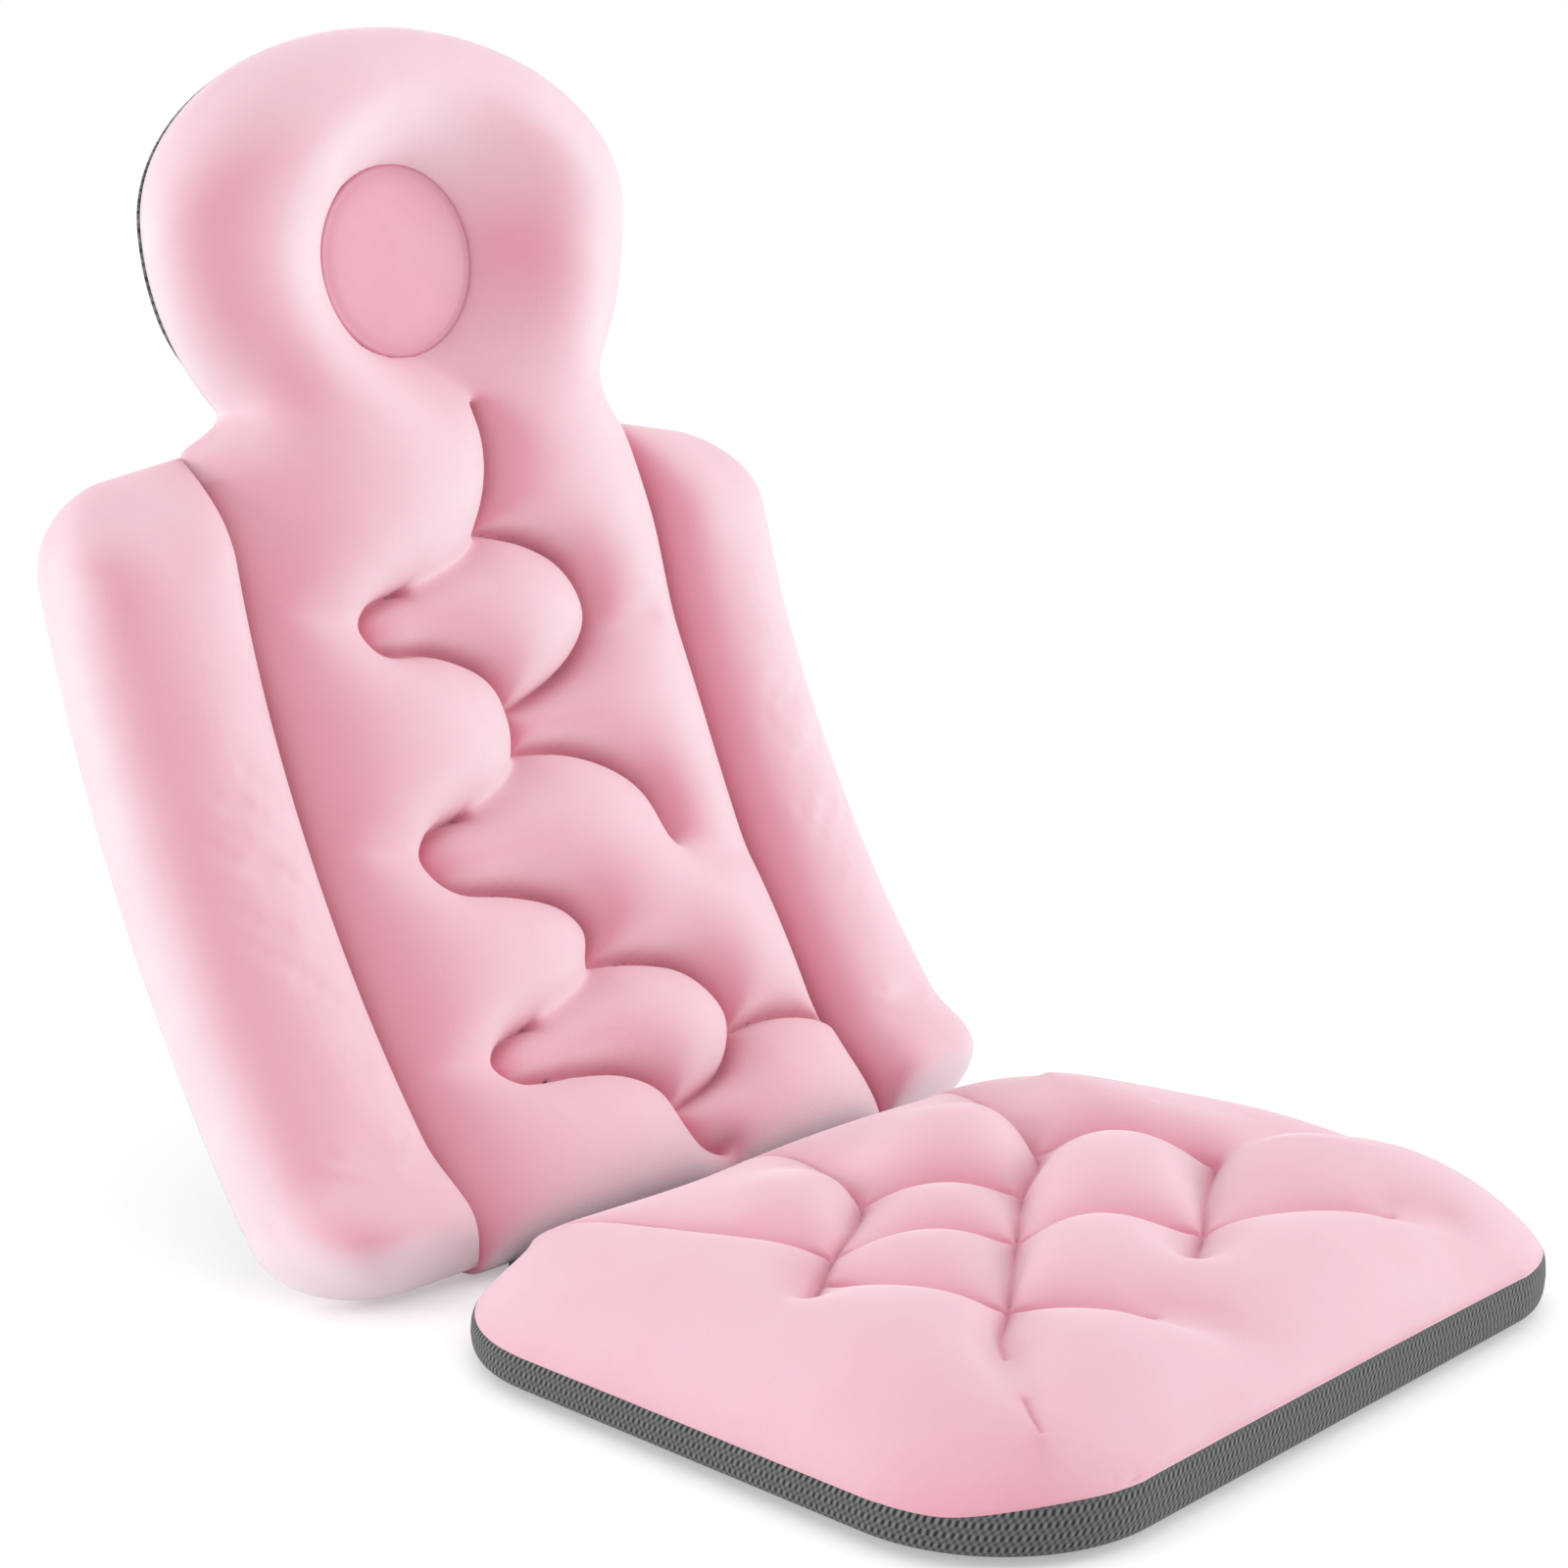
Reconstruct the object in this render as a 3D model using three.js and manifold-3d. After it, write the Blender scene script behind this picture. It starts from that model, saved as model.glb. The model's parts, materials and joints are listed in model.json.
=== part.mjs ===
// Full-body bath pillow: a quilted seat pad that folds against a curved back with bolsters and a head ring.
// Millimetres, +Z up, the seat's front towards -Y, the floor at Z = 0, the fold axis along X.
import * as THREE from 'three';
import { mergeVertices } from 'three/addons/utils/BufferGeometryUtils.js';
import Module from 'manifold-3d';

const wasm = await Module();
wasm.setup();

// Driving dimensions of the whole
const clearance = 0.3; // gap kept between pieces that touch
const meshThickness = 6; // grey spacer mesh under the seat and behind the back
const foldGap = 49; // from the seat's rear edge back to the fold axis

// Driving dimensions of the seat
const seatWidth = 390;
const seatLength = 315;
const seatCornerRadius = 70;
const seatThickness = 56; // mesh underside to the top of the puffs
const seatEdgeRoll = 65; // width over which the cover's edge rolls up to the puffs
const gussetWall = 4;
const gussetHeightRear = 13;
const gussetHeightFront = 20;
const coverEdge = 3; // thickness of a quilted cover where it is sewn down

// Driving dimensions of the back
const backWidth = 414;
const backThickness = 62; // over the puffs of the spine
const backLean = 50; // degrees from the floor at the fold
const headLean = 90.5; // degrees from the floor at the head
const bendLength = 500; // length of mesh over which the back curves up
const shoulderHeight = 348; // lengths up the back are measured along the mesh from the fold
const shoulderRise = 14; // from a bolster's outer side up to the neck
const shoulderRadius = 34;
const panelEdgeRoll = 34;
const panelSeamHeight = 15; // cover's height above the mesh face along its outer seams
const innerPadThickness = 3;

// Driving dimensions of the bolsters
const bolsterWidth = 79;
const bolsterThickness = 47;
const bolsterCoverThickness = 3;
const fillingSlack = 0.7; // between a bolster's cover and its filling
const bolsterFootRadius = 42;
const bolsterMeshInset = 26; // plush that rolls past the edge of the backing mesh

// Driving dimensions of the head
const headHeight = 463; // centre of the head's oval
const headHalfWidth = 134;
const headHalfLength = 90;
const headLowerLength = 150; // the oval is drawn out below its middle into the neck
const headThickness = 55; // over the crest of the ring
const neckHeight = 382;
const headMeshInset = 9; // plush that rolls past the mesh round the head
const discHeight = 445;
const discRadius = 45;
const discThickness = 2.5;
const discFloor = 12; // height of the recess floor over the back of the mesh
const dishRise = 44; // width of the slope from the disc up to the crest of the ring
const dishOver = 8; // the slope is drawn this far past the crest, so that it meets it at an edge

// Driving dimensions of the tufting
const seatTuftDepth = 16;
const seatTuftReach = 17;
const spineTuftDepth = 26;
const spineTuftReach = 15;
const vertebraPitch = 109;
const vertebraCount = 3;
const topVertebraHeight = 266;
const vertebraTail = 71; // how far each bean's tail reaches to the left
const vertebraTip = 62; // how far each bean's round end reaches to the right

// Driving dimensions of the suction cups and their eyelets
const cupRadius = 22;
const cupRimWidth = 4.5;
const cupHollow = 1.8;
const cupBody = 3.5; // rim to shoulder
const stemRadius = 4.6;
const buttonRadius = 8;
const buttonThickness = 2.2;
const eyeletFlange = 0.9;
const eyeletFlangeRadius = 9;
const eyeletWall = 1.2;
const pocketFloor = 3; // mesh left under the button's pocket
const seatCupInset = 75;
const backCupInset = 43; // from the centre panel's side seams
const backCupHeights = [75, 275];
const headCupSide = 62;
const headCupHeight = 485;
const roundSteps = 12;

// Sizes that follow from the driving dimensions
const standOff = cupBody + eyeletFlange + 2 * clearance; // mesh face above the cup's rim
const foldRadius = backThickness / 2; // rolled lower end of the back
const foldHeight = foldRadius;
const seatRear = -foldGap;
const seatFront = seatRear - seatLength;
const seatMiddle = (seatRear + seatFront) / 2;
const seatTop = standOff + seatThickness;
const panelHalfWidth = backWidth / 2 - bolsterWidth;
const padTop = meshThickness + 2 * clearance + innerPadThickness;
const coverFloor = padTop + clearance;
const headTop = headHeight + headHalfLength;
const stemClearance = stemRadius + clearance;

const plush = new THREE.MeshStandardMaterial({ color: 0xeeb9c8, roughness: 0.95, metalness: 0 });
const discPlush = new THREE.MeshStandardMaterial({ color: 0xe6a3b6, roughness: 0.95, metalness: 0 });
const mesh = new THREE.MeshStandardMaterial({ color: 0x4a504e, roughness: 0.9, metalness: 0 });
const fibre = new THREE.MeshStandardMaterial({ color: 0xf2efe9, roughness: 1, metalness: 0 });
const softVinyl = new THREE.MeshStandardMaterial({ color: 0xd9dfe2, roughness: 0.25, metalness: 0 });
const eyeletPlastic = new THREE.MeshStandardMaterial({ color: 0x6c7270, roughness: 0.5, metalness: 0 });

const pillow = new THREE.Group();
const seat = new THREE.Group();
const back = new THREE.Group();
pillow.add(seat, back);

function addPiece(group, name, geometry, material) {
  const piece = new THREE.Mesh(geometry, material);
  piece.name = name;
  group.add(piece);
  return piece;
}

// Closed body from a row of cross-sections with the same number of points, capped at both ends;
// each four-sided patch is split along its shorter diagonal, so that valleys run on smoothly
function loft(sections) {
  const count = sections[0].length;
  const last = sections.length - 1;
  const points = sections.flat();
  const positions = points.flatMap((point) => [point.x, point.y, point.z]);
  const triangles = [];
  for (let row = 0; row < last; row += 1) {
    for (let column = 0; column < count; column += 1) {
      const next = (column + 1) % count;
      const a = row * count + column;
      const b = row * count + next;
      const c = b + count;
      const d = a + count;
      const splitFromA = points[a].distanceTo(points[c]) <= points[b].distanceTo(points[d]);
      triangles.push(...(splitFromA ? [a, b, c, a, c, d] : [a, b, d, b, c, d]));
    }
  }
  for (let column = 1; column < count - 1; column += 1) {
    triangles.push(0, column + 1, column);
    triangles.push(last * count, last * count + column, last * count + column + 1);
  }
  const geometry = new THREE.BufferGeometry();
  geometry.setAttribute('position', new THREE.Float32BufferAttribute(positions, 3));
  geometry.setIndex(triangles);
  return geometry;
}

function solidOf(geometry) {
  const bare = geometry.clone();
  bare.deleteAttribute('normal');
  bare.deleteAttribute('uv');
  const merged = mergeVertices(bare, 1e-4);
  const vertProperties = new Float32Array(merged.attributes.position.array);
  const triVerts = new Uint32Array(merged.index.array);
  return new wasm.Manifold(new wasm.Mesh({ numProp: 3, vertProperties, triVerts }));
}

function geometryOf(solid) {
  const result = solid.getMesh();
  const geometry = new THREE.BufferGeometry();
  const positions = new Float32Array(result.numVert * 3);
  for (let vertex = 0; vertex < result.numVert; vertex += 1) {
    for (let axis = 0; axis < 3; axis += 1) {
      positions[vertex * 3 + axis] = result.vertProperties[vertex * result.numProp + axis];
    }
  }
  geometry.setAttribute('position', new THREE.BufferAttribute(positions, 3));
  geometry.setIndex(new THREE.BufferAttribute(new Uint32Array(result.triVerts), 1));
  return geometry;
}

// Even steps from one value to another, both ends included
function steps(from, to, count) {
  return Array.from({ length: count + 1 }, (_, index) => from + ((to - from) * index) / count);
}

// Quarter-round rise from 0 at a seam to 1 at its reach
function rise(distance, reach) {
  const lead = 1 - THREE.MathUtils.clamp(distance / reach, 0, 1);
  return Math.sqrt(1 - lead * lead);
}

// Round-bottomed valley of a stitch line: 1 on the line, fading out beyond its reach
function valley(distance, reach) {
  return Math.exp(-((distance / reach) ** 2));
}

// Half width of an outline with a straight end and round corners, at a distance from that end
function roundedHalfWidth(fromEnd, halfWidth, radius) {
  const lead = Math.max(radius - fromEnd, 0);
  return halfWidth - radius + Math.sqrt(Math.max(radius * radius - lead * lead, 0));
}

// Stitch lines are smooth curves through a few points
function stitchLine(points) {
  const curve = new THREE.SplineCurve(points.map(([across, along]) => new THREE.Vector2(across, along)));
  return curve.getPoints(points.length * 6);
}

function distanceToStitches(stitches, across, along) {
  let nearest = Infinity;
  for (const line of stitches) {
    for (const point of line) {
      nearest = Math.min(nearest, Math.hypot(point.x - across, point.y - along));
    }
  }
  return nearest;
}

// Suction cup, button head and eyelet turn about Y, from the rim at 0 up through the mesh
const shoulderLevel = cupBody;
const pocketLevel = standOff + pocketFloor;
const buttonLevel = pocketLevel + clearance;

function lathe(profile, segments = roundSteps) {
  const points = profile.map(([radius, level]) => new THREE.Vector2(radius, level));
  return new THREE.LatheGeometry(points, segments);
}

const cupInnerRim = cupRadius - cupRimWidth;
const cupProfile = [
  [0, cupHollow],
  [cupInnerRim * 0.55, cupHollow * 0.85],
  [cupInnerRim, 0],
  [cupRadius, 0],
  [cupRadius * 0.97, cupHollow * 0.5],
  [cupRadius * 0.55, shoulderLevel * 0.85],
  [stemRadius * 1.5, shoulderLevel],
  [stemRadius, shoulderLevel],
  [stemRadius, buttonLevel],
  [buttonRadius, buttonLevel],
  [buttonRadius, buttonLevel + buttonThickness * 0.6],
  [buttonRadius * 0.7, buttonLevel + buttonThickness],
  [0, buttonLevel + buttonThickness],
];
const eyeletBottom = cupBody + clearance;
const eyeletOuter = stemClearance + eyeletWall;
const eyeletProfile = [
  [stemClearance, eyeletBottom],
  [eyeletFlangeRadius, eyeletBottom],
  [eyeletFlangeRadius, eyeletBottom + eyeletFlange],
  [eyeletOuter, eyeletBottom + eyeletFlange],
  [eyeletOuter, pocketLevel],
  [stemClearance, pocketLevel],
  [stemClearance, eyeletBottom],
];
const cutOverrun = 2;
const meshHoleProfile = [
  [0, standOff - cutOverrun],
  [eyeletOuter + clearance, standOff - cutOverrun],
  [eyeletOuter + clearance, pocketLevel],
  [buttonRadius + 1, pocketLevel],
  [buttonRadius + 1, standOff + meshThickness + cutOverrun],
  [0, standOff + meshThickness + cutOverrun],
];

function addCup(group, name, frame) {
  for (const [piece, profile, material] of [
    ['cup', cupProfile, softVinyl],
    ['eyelet', eyeletProfile, eyeletPlastic],
  ]) {
    const part = addPiece(group, `${name}_${piece}`, lathe(profile), material);
    part.position.setFromMatrixPosition(frame);
    part.quaternion.setFromRotationMatrix(frame);
  }
}

function cutMeshHoles(geometry, frames) {
  let solid = solidOf(geometry);
  for (const frame of frames) {
    solid = solid.subtract(solidOf(lathe(meshHoleProfile).applyMatrix4(frame)));
  }
  return geometryOf(solid);
}

// Seat: outline, gusset, base mesh and inner pad
function seatHalfWidth(y, inset = 0) {
  const fromEnd = Math.min(y - seatFront, seatRear - y) - inset;
  return roundedHalfWidth(fromEnd, seatWidth / 2 - inset, seatCornerRadius - inset);
}

function seatShape(inset) {
  const radius = seatCornerRadius - inset;
  const right = seatWidth / 2 - inset;
  const front = seatFront + inset;
  const rear = seatRear - inset;
  const shape = new THREE.Shape();
  shape.absarc(right - radius, rear - radius, radius, 0, Math.PI / 2);
  shape.absarc(-right + radius, rear - radius, radius, Math.PI / 2, Math.PI);
  shape.absarc(-right + radius, front + radius, radius, Math.PI, Math.PI * 1.5);
  shape.absarc(right - radius, front + radius, radius, Math.PI * 1.5, Math.PI * 2);
  shape.closePath();
  return shape;
}

function gussetTop(y) {
  const share = (seatRear - y) / seatLength;
  return standOff + THREE.MathUtils.lerp(gussetHeightRear, gussetHeightFront, share);
}

// Prism over a seat outline whose top face follows a height that changes from rear to front
function seatPrism(shape, bottom, topAt) {
  const geometry = new THREE.ExtrudeGeometry(shape, { depth: 1, bevelEnabled: false, curveSegments: 6 });
  const position = geometry.attributes.position;
  for (let vertex = 0; vertex < position.count; vertex += 1) {
    const isTop = position.getZ(vertex) > 0.5;
    position.setZ(vertex, isTop ? topAt(position.getY(vertex)) : bottom);
  }
  return geometry;
}

const gussetShape = seatShape(0);
gussetShape.holes.push(seatShape(gussetWall));
addPiece(seat, 'seat_mesh_gusset', seatPrism(gussetShape, standOff, gussetTop), mesh);

const seatCupFrames = [];
for (const [depthName, y] of [['rear', seatRear - seatCupInset], ['front', seatFront + seatCupInset]]) {
  for (const [sideName, side] of [['left', -1], ['right', 1]]) {
    const frame = new THREE.Matrix4().makeRotationX(Math.PI / 2);
    frame.setPosition(side * (seatWidth / 2 - seatCupInset), y, 0);
    seatCupFrames.push(frame);
    addCup(seat, `seat_${depthName}_${sideName}`, frame);
  }
}

const baseTop = standOff + meshThickness;
const insideGusset = seatShape(gussetWall + clearance);
const seatBase = cutMeshHoles(seatPrism(insideGusset, standOff, () => baseTop), seatCupFrames);
addPiece(seat, 'seat_mesh_base', seatBase, mesh);
const seatPad = seatPrism(insideGusset, baseTop + clearance, (y) => gussetTop(y));
addPiece(seat, 'seat_inner_pad', seatPad, fibre);

// Seat cover: quilted by stitch lines that cross in a lattice, each a list of points [across, along]
// with the distance along counted from the seat's rear edge
const seatStitches = [
  [[-128, -7], [-122, -46], [-108, -96], [-93, -139]],
  [[-93, -139], [-58, -153], [-31, -180]],
  [[-31, -180], [1, -198], [27, -228]],
  [[27, -228], [72, -249], [111, -286], [122, -311]],
  [[-42, -108], [-11, -122], [13, -148]],
  [[57, -120], [83, -146], [96, -186]],
  [[-116, -154], [-104, -187], [-88, -222], [-55, -263], [-31, -310]],
  [[-12, -3], [-17, -51], [-42, -108], [-93, -139], [-116, -154], [-135, -165]],
  [[112, -11], [98, -51], [57, -120], [13, -148], [-31, -180], [-88, -222], [-124, -247], [-159, -293]],
  [[96, -186], [62, -205], [27, -228], [-10, -249]],
].map((points) => stitchLine(points.map(([across, along]) => [across, seatRear + along])));

function insideSeat(x, y) {
  const across = Math.abs(x) - seatWidth / 2 + seatCornerRadius;
  const along = Math.abs(y - seatMiddle) - seatLength / 2 + seatCornerRadius;
  const corner = Math.hypot(Math.max(across, 0), Math.max(along, 0));
  return seatCornerRadius - corner - Math.min(Math.max(across, along), 0);
}

function seatCoverTop(x, y) {
  const edge = rise(insideSeat(x, y), seatEdgeRoll);
  const stitch = valley(distanceToStitches(seatStitches, x, y), seatTuftReach);
  const seam = gussetTop(y) + clearance + coverEdge;
  return seam + edge * (seatTop - seam - seatTuftDepth * stitch);
}

// Grid positions from -1 to 1, closer together towards the ends
function crowded(count) {
  return steps(-1, 1, count).map((at) => at + 0.08 * Math.sin(Math.PI * at));
}

const seatColumns = crowded(30);
const seatRows = crowded(26).map((at) => seatMiddle + (at * seatLength) / 2);
const seatCover = loft(seatRows.map((y) => {
  const halfWidth = seatHalfWidth(y);
  const floor = gussetTop(y) + clearance;
  const top = seatColumns.map((at) => new THREE.Vector3(at * halfWidth, y, seatCoverTop(at * halfWidth, y)));
  return [...top, new THREE.Vector3(halfWidth, y, floor), new THREE.Vector3(-halfWidth, y, floor)];
}));
addPiece(seat, 'seat_quilted_cover', seatCover, plush);

// Fold web: the strip of mesh from under the seat to the rolled end of the back
const webThickness = 2.5;
const webHalfWidth = panelHalfWidth - panelSeamHeight;
const webTop = standOff + webThickness;
const webReach = Math.sqrt((foldRadius + clearance) ** 2 - (foldHeight - webTop) ** 2);
const webLength = foldGap - clearance - webReach;
const web = new THREE.BoxGeometry(2 * webHalfWidth, webLength, webThickness);
web.translate(0, seatRear + clearance + webLength / 2, standOff + webThickness / 2);
addPiece(seat, 'fold_web', web, mesh);

// Back: a point by its distance across, its length up the mesh from the fold and its height off the mesh
const leanRadians = THREE.MathUtils.degToRad(backLean);
const bendRadius = bendLength / THREE.MathUtils.degToRad(headLean - backLean);

function leanAt(up) {
  return leanRadians + THREE.MathUtils.clamp(up, 0, bendLength) / bendRadius;
}

function backPoint(across, up, height) {
  const lean = leanAt(up);
  const straight = up - THREE.MathUtils.clamp(up, 0, bendLength);
  const startY = foldRadius * Math.sin(leanRadians);
  const startZ = foldHeight - foldRadius * Math.cos(leanRadians);
  const y = startY + bendRadius * (Math.sin(lean) - Math.sin(leanRadians)) + straight * Math.cos(lean);
  const z = startZ + bendRadius * (Math.cos(leanRadians) - Math.cos(lean)) + straight * Math.sin(lean);
  return new THREE.Vector3(across, y - height * Math.sin(lean), z + height * Math.cos(lean));
}

// Frame on the back whose Y axis points off the mesh, towards the sitter
function backFrame(across, up, height) {
  const lean = leanAt(up);
  const outward = new THREE.Vector3(0, -Math.sin(lean), Math.cos(lean));
  const down = new THREE.Vector3(0, -Math.cos(lean), -Math.sin(lean));
  const frame = new THREE.Matrix4().makeBasis(new THREE.Vector3(1, 0, 0), outward, down);
  return frame.setPosition(backPoint(across, up, height));
}

// Rolled lower end of the back: the round about the fold axis, at a length below the fold
function rollHalf(up) {
  const below = Math.min(up, 0);
  return Math.sqrt(Math.max(foldRadius * foldRadius - below * below, 0));
}

// Outline of the neck and head above the shoulders
function headHalfWidthAt(up, inset = 0) {
  const halfLength = up < headHeight ? headLowerLength : headHalfLength - inset;
  const share = (up - headHeight) / halfLength;
  return (headHalfWidth - inset) * Math.sqrt(Math.max(1 - share * share, 0));
}

const seamTop = shoulderHeight + shoulderRise;

function panelHalfWidthAt(up) {
  const plain = panelHalfWidth - clearance;
  const step = THREE.MathUtils.smoothstep(up, seamTop, neckHeight);
  return THREE.MathUtils.lerp(plain, headHalfWidthAt(up), step);
}

// Back cover: one cloth from the rolled lower end over the spine and the neck to the head ring
const lastVertebra = topVertebraHeight - vertebraPitch * (vertebraCount - 1);
const spineStitches = [
  stitchLine([[13, neckHeight], [17, 350], [14, 331], [5, topVertebraHeight + 46]]),
  stitchLine([[5, lastVertebra - 39], [5, lastVertebra - 47], [22, lastVertebra - 65]]),
  stitchLine([[vertebraTip, 38], [84, 40], [108, 35], [panelHalfWidth, 24]]),
];
const tipOfBean = [
  [0, 46], [26, 38], [49, 25], [vertebraTip, 4], [58, -13], [40, -30], [12, -41], [-4, -46],
];
const tailOfBean = [
  [0, 46], [-10, 28], [-38, 18], [-64, 9], [-vertebraTail, 2], [-66, -6], [-42, -12], [-12, -24], [-4, -46],
];
for (let vertebra = 0; vertebra < vertebraCount; vertebra += 1) {
  const middle = topVertebraHeight - vertebra * vertebraPitch;
  for (const points of [tipOfBean, tailOfBean]) {
    spineStitches.push(stitchLine(points.map(([across, up]) => [across, middle + up])));
  }
}

const neckStart = shoulderHeight - shoulderRadius;
const headMiddle = 40; // rows lie evenly this far below and above the oval's centre
const headStart = headHeight - headMiddle;

function insidePanel(across, up) {
  const sideways = panelHalfWidthAt(up) - Math.abs(across);
  const oval = Math.hypot(across / headHalfWidth, (up - headHeight) / headHalfLength);
  return up < headHeight ? sideways : Math.min(sideways, (1 - oval) * headHalfLength);
}

function backCoverTop(across, up) {
  const edge = rise(insidePanel(across, up), panelEdgeRoll);
  const stitch = valley(distanceToStitches(spineStitches, across, up), spineTuftReach);
  const headShare = THREE.MathUtils.smoothstep(up, neckStart, headStart);
  const crest = THREE.MathUtils.lerp(backThickness, headThickness, headShare);
  const puff = crest - panelSeamHeight - spineTuftDepth * stitch;
  return Math.min(panelSeamHeight + edge * puff, foldRadius + rollHalf(up));
}

const rollShare = 0.98; // of the fold's radius: how far down the cover's rolled end is drawn
const rollStart = -foldRadius * rollShare;
const ovalShare = 0.985; // of the oval's half length: where the head's top is closed
const ovalSteps = steps(Math.asin(headMiddle / headHalfLength), Math.asin(ovalShare), 9);
const backRows = [
  ...steps(rollStart, 0, 4).slice(0, -1),
  ...steps(0, shoulderHeight, 28),
  ...steps(shoulderHeight, neckHeight, 5).slice(1),
  ...steps(neckHeight, headStart, 3).slice(1),
  ...steps(headStart, headHeight + headMiddle, 4).slice(1),
  ...ovalSteps.slice(1).map((angle) => headHeight + headHalfLength * Math.sin(angle)),
];
const backColumns = crowded(24);
const coverBlank = loft(backRows.map((up) => {
  const halfWidth = panelHalfWidthAt(up);
  const floor = Math.max(coverFloor, foldRadius - rollHalf(up));
  const top = backColumns.map((at) => backPoint(at * halfWidth, up, backCoverTop(at * halfWidth, up)));
  return [...top, backPoint(halfWidth, up, floor), backPoint(-halfWidth, up, floor)];
}));

// Recess of the head ring: a flat floor for the disc and a rounded slope up to the ring's crest
const dishTop = headThickness + dishOver;
const dishSlope = steps(0, Math.PI / 2, 5).map((angle) => [
  discRadius + 2 * clearance + dishRise * (1 - Math.cos(angle)),
  discFloor + (dishTop - discFloor) * Math.sin(angle),
]);
const dishProfile = [[0, discFloor], ...dishSlope, [0, dishTop]];
const dish = lathe(dishProfile, 24).applyMatrix4(backFrame(0, discHeight, 0));
addPiece(back, 'back_quilted_cover', geometryOf(solidOf(coverBlank).subtract(solidOf(dish))), plush);

const discProfile = [
  [0, discFloor + clearance],
  [discRadius, discFloor + clearance],
  [discRadius, discFloor + clearance + discThickness * 0.5],
  [discRadius * 0.9, discFloor + clearance + discThickness],
  [0, discFloor + clearance + discThickness],
];
const disc = addPiece(back, 'head_disc', lathe(discProfile, 24), discPlush);
const discFrame = backFrame(0, discHeight, 0);
disc.position.setFromMatrixPosition(discFrame);
disc.quaternion.setFromRotationMatrix(discFrame);

// Backing mesh: a sheet over the whole back, cut for the cups' buttons
const sheetStart = 2;
const sheetHalfWidth = backWidth / 2 - bolsterMeshInset;

function sheetHalfWidthAt(up) {
  if (up > shoulderHeight) {
    return headHalfWidthAt(Math.max(up, neckHeight), headMeshInset);
  }
  const foot = roundedHalfWidth(up - sheetStart, sheetHalfWidth, bolsterFootRadius - bolsterMeshInset);
  const shoulder = roundedHalfWidth(shoulderHeight - up, sheetHalfWidth, shoulderRadius);
  return Math.min(foot, shoulder);
}

function sheet(rows, halfWidthAt, bottom, top) {
  return loft(rows.map((up) => {
    const halfWidth = halfWidthAt(up);
    return [
      backPoint(-halfWidth, up, top),
      backPoint(halfWidth, up, top),
      backPoint(halfWidth, up, bottom),
      backPoint(-halfWidth, up, bottom),
    ];
  }));
}

const ovalAngles = steps(0, Math.asin(ovalShare), 8).slice(1);
const footRows = steps(0, 1, 4).map((share) => sheetStart + bolsterFootRadius * share * share);
const sheetRows = [
  ...footRows,
  ...steps(footRows.at(-1), shoulderHeight - shoulderRadius, 9).slice(1),
  ...steps(1, 0, 4).slice(1).map((share) => shoulderHeight - shoulderRadius * share * share),
  shoulderHeight + 1,
  ...steps(neckHeight, headHeight, 5),
  ...ovalAngles.map((angle) => headHeight + (headHalfLength - headMeshInset) * Math.sin(angle)),
];

const backCupFrames = [];
const backCupSide = panelHalfWidth - backCupInset;
const backCups = backCupHeights.map((up, index) => [`back_${['lower', 'upper'][index]}`, backCupSide, up]);
backCups.push(['head', headCupSide, headCupHeight]);
for (const [rowName, across, up] of backCups) {
  for (const [sideName, side] of [['left', -1], ['right', 1]]) {
    const frame = backFrame(side * across, up, -standOff);
    backCupFrames.push(frame);
    addCup(back, `${rowName}_${sideName}`, frame);
  }
}
const backMesh = cutMeshHoles(sheet(sheetRows, sheetHalfWidthAt, 0, meshThickness), backCupFrames);
addPiece(back, 'back_mesh', backMesh, mesh);

// Inner pad between the backing mesh and the quilted cover
const padInset = headMeshInset + 3;
const padRows = backRows.filter((up) => up > 0 && up < headTop - padInset);
const padBottom = meshThickness + clearance;
const innerPad = sheet(padRows, (up) => panelHalfWidthAt(up) - padInset, padBottom, padTop);
addPiece(back, 'back_inner_pad', innerPad, fibre);

// Bolsters: an open-backed plush roll over a fibre filling, from the shoulder down to the floor
const bolsterFloor = meshThickness + clearance;
const footShare = 0.92; // of the fold's radius: how far down the bolsters reach
const bolsterFoot = -foldRadius * footShare;
const bolsterSteps = 10;
const liftReach = 150; // length below the shoulder over which its rise begins

// The shoulder rises from a bolster's outer side towards the neck
function shoulderLift(across, up) {
  const share = THREE.MathUtils.clamp((backWidth / 2 - across) / bolsterWidth, 0, 1);
  return shoulderRise * share * THREE.MathUtils.smoothstep(up, shoulderHeight - liftReach, shoulderHeight);
}

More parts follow.
